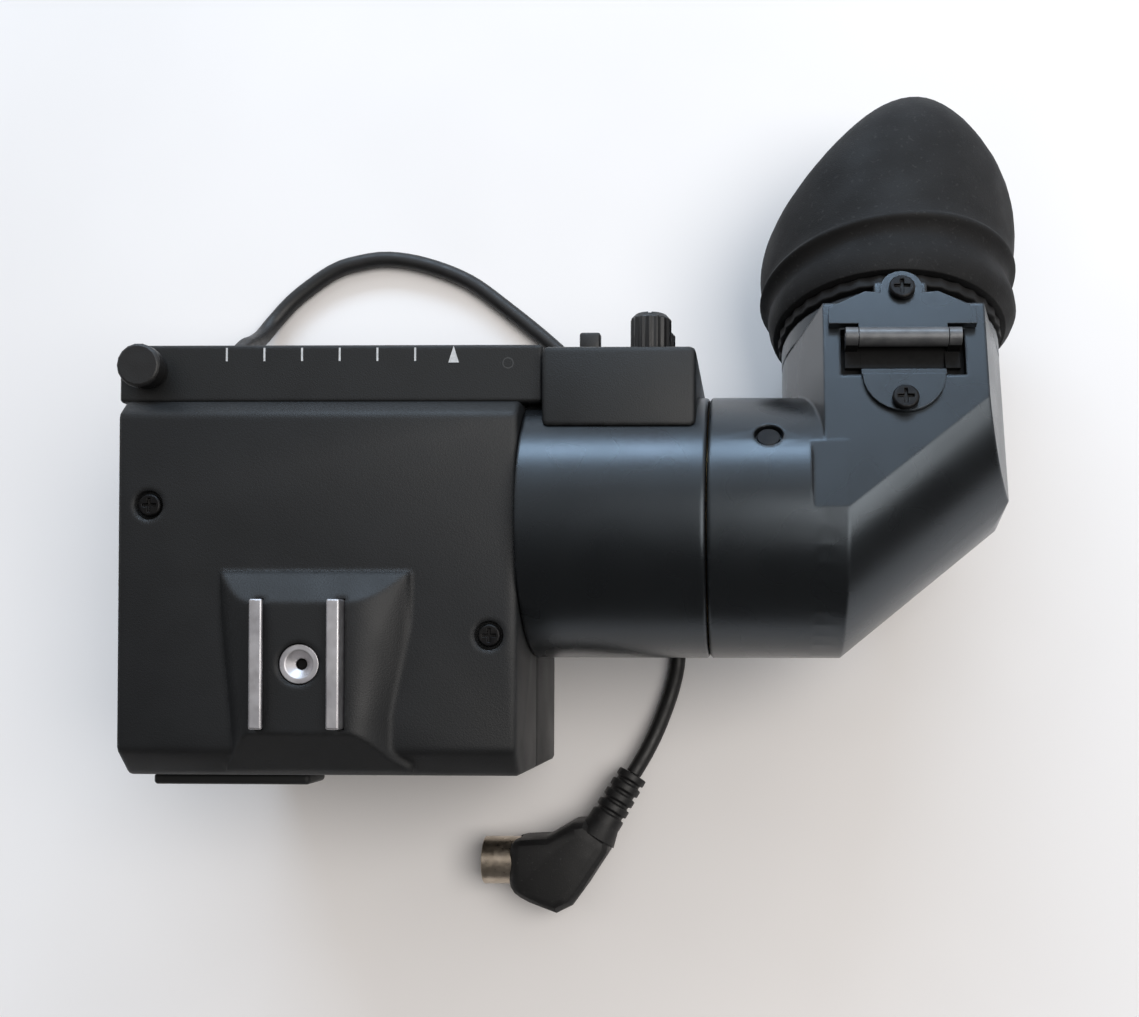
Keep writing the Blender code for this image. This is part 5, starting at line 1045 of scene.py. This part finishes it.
@dataclass
class BarScale:
    """Printed scale on top of the rail bar."""

    first_x: float = -0.0266
    pitch: float = 0.00994
    count: int = 6
    line_width: float = 0.0005
    low_y: float = 0.0597
    high_y: float = 0.0632
    ink: float = 0.00003
    arrow_x: float = 0.0332
    arrow_half: float = 0.0014
    arrow_length: float = 0.0044
    ring_x: float = 0.0475
    ring_y: float = 0.0591
    ring_radius: float = 0.0015
    ring_width: float = 0.0003
    ring_sides: int = 36

    def build(self, material: Material, faint: Material) -> list[Piece]:
        """Make the lines, the arrow and the small ring.

        Args:
            material: The print's finish.
            faint: The ring's finish.

        Returns:
            The printed pieces.
        """
        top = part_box("rail_bar")[1].z + self.ink
        bm = bmesh.new()
        for number in range(self.count):
            self.line(bm, self.first_x + self.pitch * number, top)
        lines = put("bar_scale_lines", bm, material, Body.HOUSING)
        bm = bmesh.new()
        arrow = bmesh.ops.create_circle(bm, cap_ends=True, segments=3, radius=1.0)["verts"]
        # A triangle of radius 1 is 1.5 high, and its middle lies a sixth of that off its centre
        wide = self.arrow_half / math.sin(math.radians(60))
        shape = Matrix.Diagonal((wide, self.arrow_length / 1.5, 1.0, 1.0))
        bmesh.ops.transform(bm, matrix=shape, verts=arrow)
        middle = (self.low_y + self.high_y) / 2 - self.arrow_length / 6
        bmesh.ops.translate(bm, vec=(self.arrow_x, middle, top), verts=arrow)
        arrow_piece = put("bar_scale_arrow", bm, material, Body.HOUSING)
        bm = bmesh.new()
        verts = []
        for radius in (self.ring_radius, self.ring_radius - self.ring_width):
            made = bmesh.ops.create_circle(bm, segments=self.ring_sides, radius=radius)
            verts += made["verts"]
        edges = list({edge for vert in verts for edge in vert.link_edges})
        bmesh.ops.bridge_loops(bm, edges=edges)
        bmesh.ops.translate(bm, vec=(self.ring_x, self.ring_y, top), verts=bm.verts)
        ring = put("bar_scale_ring", bm, faint, Body.HOUSING)
        return [lines, arrow_piece, ring]

    def line(self, bm: Form, x: float, top: float) -> None:
        """Add one printed line across the bar's back edge."""
        made = add_strip(bm, self.line_width, self.high_y - self.low_y)
        bmesh.ops.translate(bm, vec=(x, (self.low_y + self.high_y) / 2, top), verts=made)


@dataclass
class KnobMarks:
    """White fill in the pointer groove of each control knob, and the marks round it."""

    width: float = 0.0006
    inner_share: float = 0.25
    widths_to_edge: float = 3.0
    sink: float = 0.0002
    ink: float = 0.00003
    mark_width: float = 0.0003
    mark_length: float = 0.0009
    mark_gap: float = 0.0006
    mark_turns: tuple[float, ...] = tuple(math.radians(turn) for turn in range(-150, 151, 30))
    knobs: tuple[tuple[str, Body], ...] = (
        ("brightness_knob", Body.BRIGHTNESS), ("contrast_knob", Body.CONTRAST),
        ("peaking_knob", Body.PEAKING),
    )

    def build(self, material: Material) -> list[Piece]:
        """Return the three pointer fills."""
        pieces = []
        for name, body in self.knobs:
            low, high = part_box(name)
            middle = (low + high) / 2
            radius = (high.x - low.x) / 2
            inner = middle.z + radius * self.inner_share
            bm = bmesh.new()
            outer = high.z - self.width * self.widths_to_edge
            made = add_strip(bm, self.width, outer - inner)
            bmesh.ops.rotate(bm, cent=(0, 0, 0), matrix=UPRIGHT, verts=made)
            place = (middle.x, high.y - self.sink, (inner + outer) / 2)
            bmesh.ops.translate(bm, vec=place, verts=made)
            piece = put(f"{name}_pointer", bm, material, body)
            pieces.append(piece)
        return pieces

    def build_dials(self, material: Material) -> Piece:
        """Make the printed marks on the wall round the knobs.

        Args:
            material: The print's finish.

        Returns:
            The marks, as one piece.
        """
        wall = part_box("control_box")[1].y + self.ink
        bm = bmesh.new()
        for name, _ in self.knobs:
            low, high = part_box(name)
            middle = (low + high) / 2
            reach = (high.x - low.x) / 2 + self.mark_gap + self.mark_length / 2
            for turn in self.mark_turns:
                made = add_strip(bm, self.mark_width, self.mark_length)
                bmesh.ops.translate(bm, vec=(0, reach, 0), verts=made)
                upright = UPRIGHT @ Matrix.Rotation(turn, 3, "Z")
                bmesh.ops.rotate(bm, cent=(0, 0, 0), matrix=upright, verts=made)
                bmesh.ops.translate(bm, vec=(middle.x, wall, middle.z), verts=made)
        piece = put("knob_dial_marks", bm, material, Body.HOUSING)
        return piece


@dataclass
class Table:
    """Pale table that the object lies on."""

    half: float = 3.0
    colour: Colour = (0.90, 0.885, 0.885)
    shade: Colour = (0.86, 0.845, 0.845)
    patch_scale: float = 6.0
    roughness: float = 0.55
    specular: float = 0.2

    def build(self) -> Piece:
        """Return the table top."""
        bm = bmesh.new()
        bmesh.ops.create_grid(bm, x_segments=1, y_segments=1, size=self.half)
        mesh = bpy.data.meshes.new("table_top")
        bm.to_mesh(mesh)
        bm.free()
        board = NodeBoard("table_laminate")
        inputs = board.shader.inputs
        patches = board.ranged(board.noise(self.patch_scale, 3.0), *PATCH_BAND, 0.0, 1.0)
        board.join(board.mixed(patches, self.colour, self.shade), inputs["Base Color"])
        inputs["Roughness"].default_value = self.roughness
        inputs["Specular IOR Level"].default_value = self.specular
        mesh.materials.append(board.material)
        table = placed("table_top", mesh)
        return table


Lamp = tuple[str, Place, Band, float, Colour]


@dataclass
class Studio:
    """Cool window light from the eyepiece's side, a warm lamp and a sky that is dimmer in front."""

    aim: Place = (0.08, 0.02, 0.05)
    lamps: tuple[Lamp, ...] = (
        ("window", (-0.05, 1.45, 0.72), (1.4, 0.34), 18.0, (0.62, 0.80, 1.0)),
        ("window_top", (0.10, 1.15, 1.08), (1.6, 0.80), 2.2, (0.80, 0.90, 1.0)),
        ("side_lamp", (0.75, 0.10, 1.35), (1.0, 1.0), 14.5, (1.0, 0.955, 0.905)),
    )
    sky: Colour = (1.0, 0.975, 0.96)
    sky_bright: float = 0.62
    sky_dim: float = 0.09
    sky_toward: Place = (0.0, 1.0, 0.15)
    sky_band: Band = (-0.2, 0.6)

    def build(self) -> None:
        """Make the lamps and the sky."""
        for name, place, (width, height), power, colour in self.lamps:
            light = bpy.data.lights.new(name, "AREA")
            light.shape = "RECTANGLE"
            light.size = width
            light.size_y = height
            light.energy = power
            light.color = colour
            lamp = placed(name, light)
            lamp.location = place
            toward = Vector(self.aim) - Vector(place)
            lamp.rotation_euler = toward.to_track_quat("-Z", "Y").to_euler()
        world = bpy.data.worlds.new("sky")
        world.use_nodes = True
        tree = world.node_tree
        tree.nodes["Background"].inputs["Color"].default_value = (*self.sky, 1.0)
        side = tree.nodes.new("ShaderNodeVectorMath")
        side.operation = "DOT_PRODUCT"
        side.inputs[1].default_value = self.sky_toward
        tree.links.new(tree.nodes.new("ShaderNodeTexCoord").outputs["Generated"], side.inputs[0])
        fade = tree.nodes.new("ShaderNodeMapRange")
        fade.interpolation_type = "SMOOTHSTEP"
        ends = ("From Min", "From Max", "To Min", "To Max")
        for key, number in zip(ends, (*self.sky_band, self.sky_dim, self.sky_bright)):
            fade.inputs[key].default_value = number
        tree.links.new(side.outputs["Value"], fade.inputs["Value"])
        tree.links.new(fade.outputs["Result"], tree.nodes["Background"].inputs["Strength"])
        bpy.context.scene.world = world
        bpy.context.scene.view_settings.view_transform = "Standard"


@dataclass
class PhotoCamera:
    """Camera straight above the object, as in the photograph."""

    place: Place = (0.11212, -0.01738, 0.39716)
    turn: Place = (math.radians(0.54), math.radians(1.22), math.radians(0.17))
    lens: float = 38.46
    sensor: float = 36.0
    shift_x: float = -0.14
    shift_y: float = 0.12
    near: float = 0.01

    def build(self) -> Piece:
        """Return the scene's camera."""
        data = bpy.data.cameras.new("photo_camera")
        data.lens = self.lens
        data.sensor_width = self.sensor
        data.shift_x = self.shift_x
        data.shift_y = self.shift_y
        data.clip_start = self.near
        camera = placed("photo_camera", data)
        camera.location = self.place
        camera.rotation_euler = self.turn
        bpy.context.scene.camera = camera
        return camera


def main() -> None:
    """Dress the viewfinder and set its table, light and camera."""
    logging.basicConfig(level=logging.INFO, format="%(name)s: %(message)s")
    PhotoCamera().build()
    wardrobe = Wardrobe()
    wardrobe.dress_nodes()
    cast = CastParts()
    for piece in cast.build_all(wardrobe):
        LOG.info("made %s", piece.name)
    LOG.info("made %s", StopSpring().build(cast, wardrobe.take(STEEL)).name)
    LOG.info("made %s", SignalCable().build(wardrobe.take(JACKET), wardrobe.take(BOOT_RUBBER)).name)
    LOG.info("made %s", Eyecup().build(wardrobe.take(RUBBER)).name)
    printed = BarScale().build(wardrobe.take(PRINT), wardrobe.take(FAINT_PRINT))
    marks = KnobMarks()
    printed += [*marks.build(wardrobe.take(PRINT)), marks.build_dials(wardrobe.take(PRINT))]
    for piece in printed:
        LOG.info("made %s", piece.name)
    Table().build()
    Studio().build()


if __name__ == "__main__":
    main()
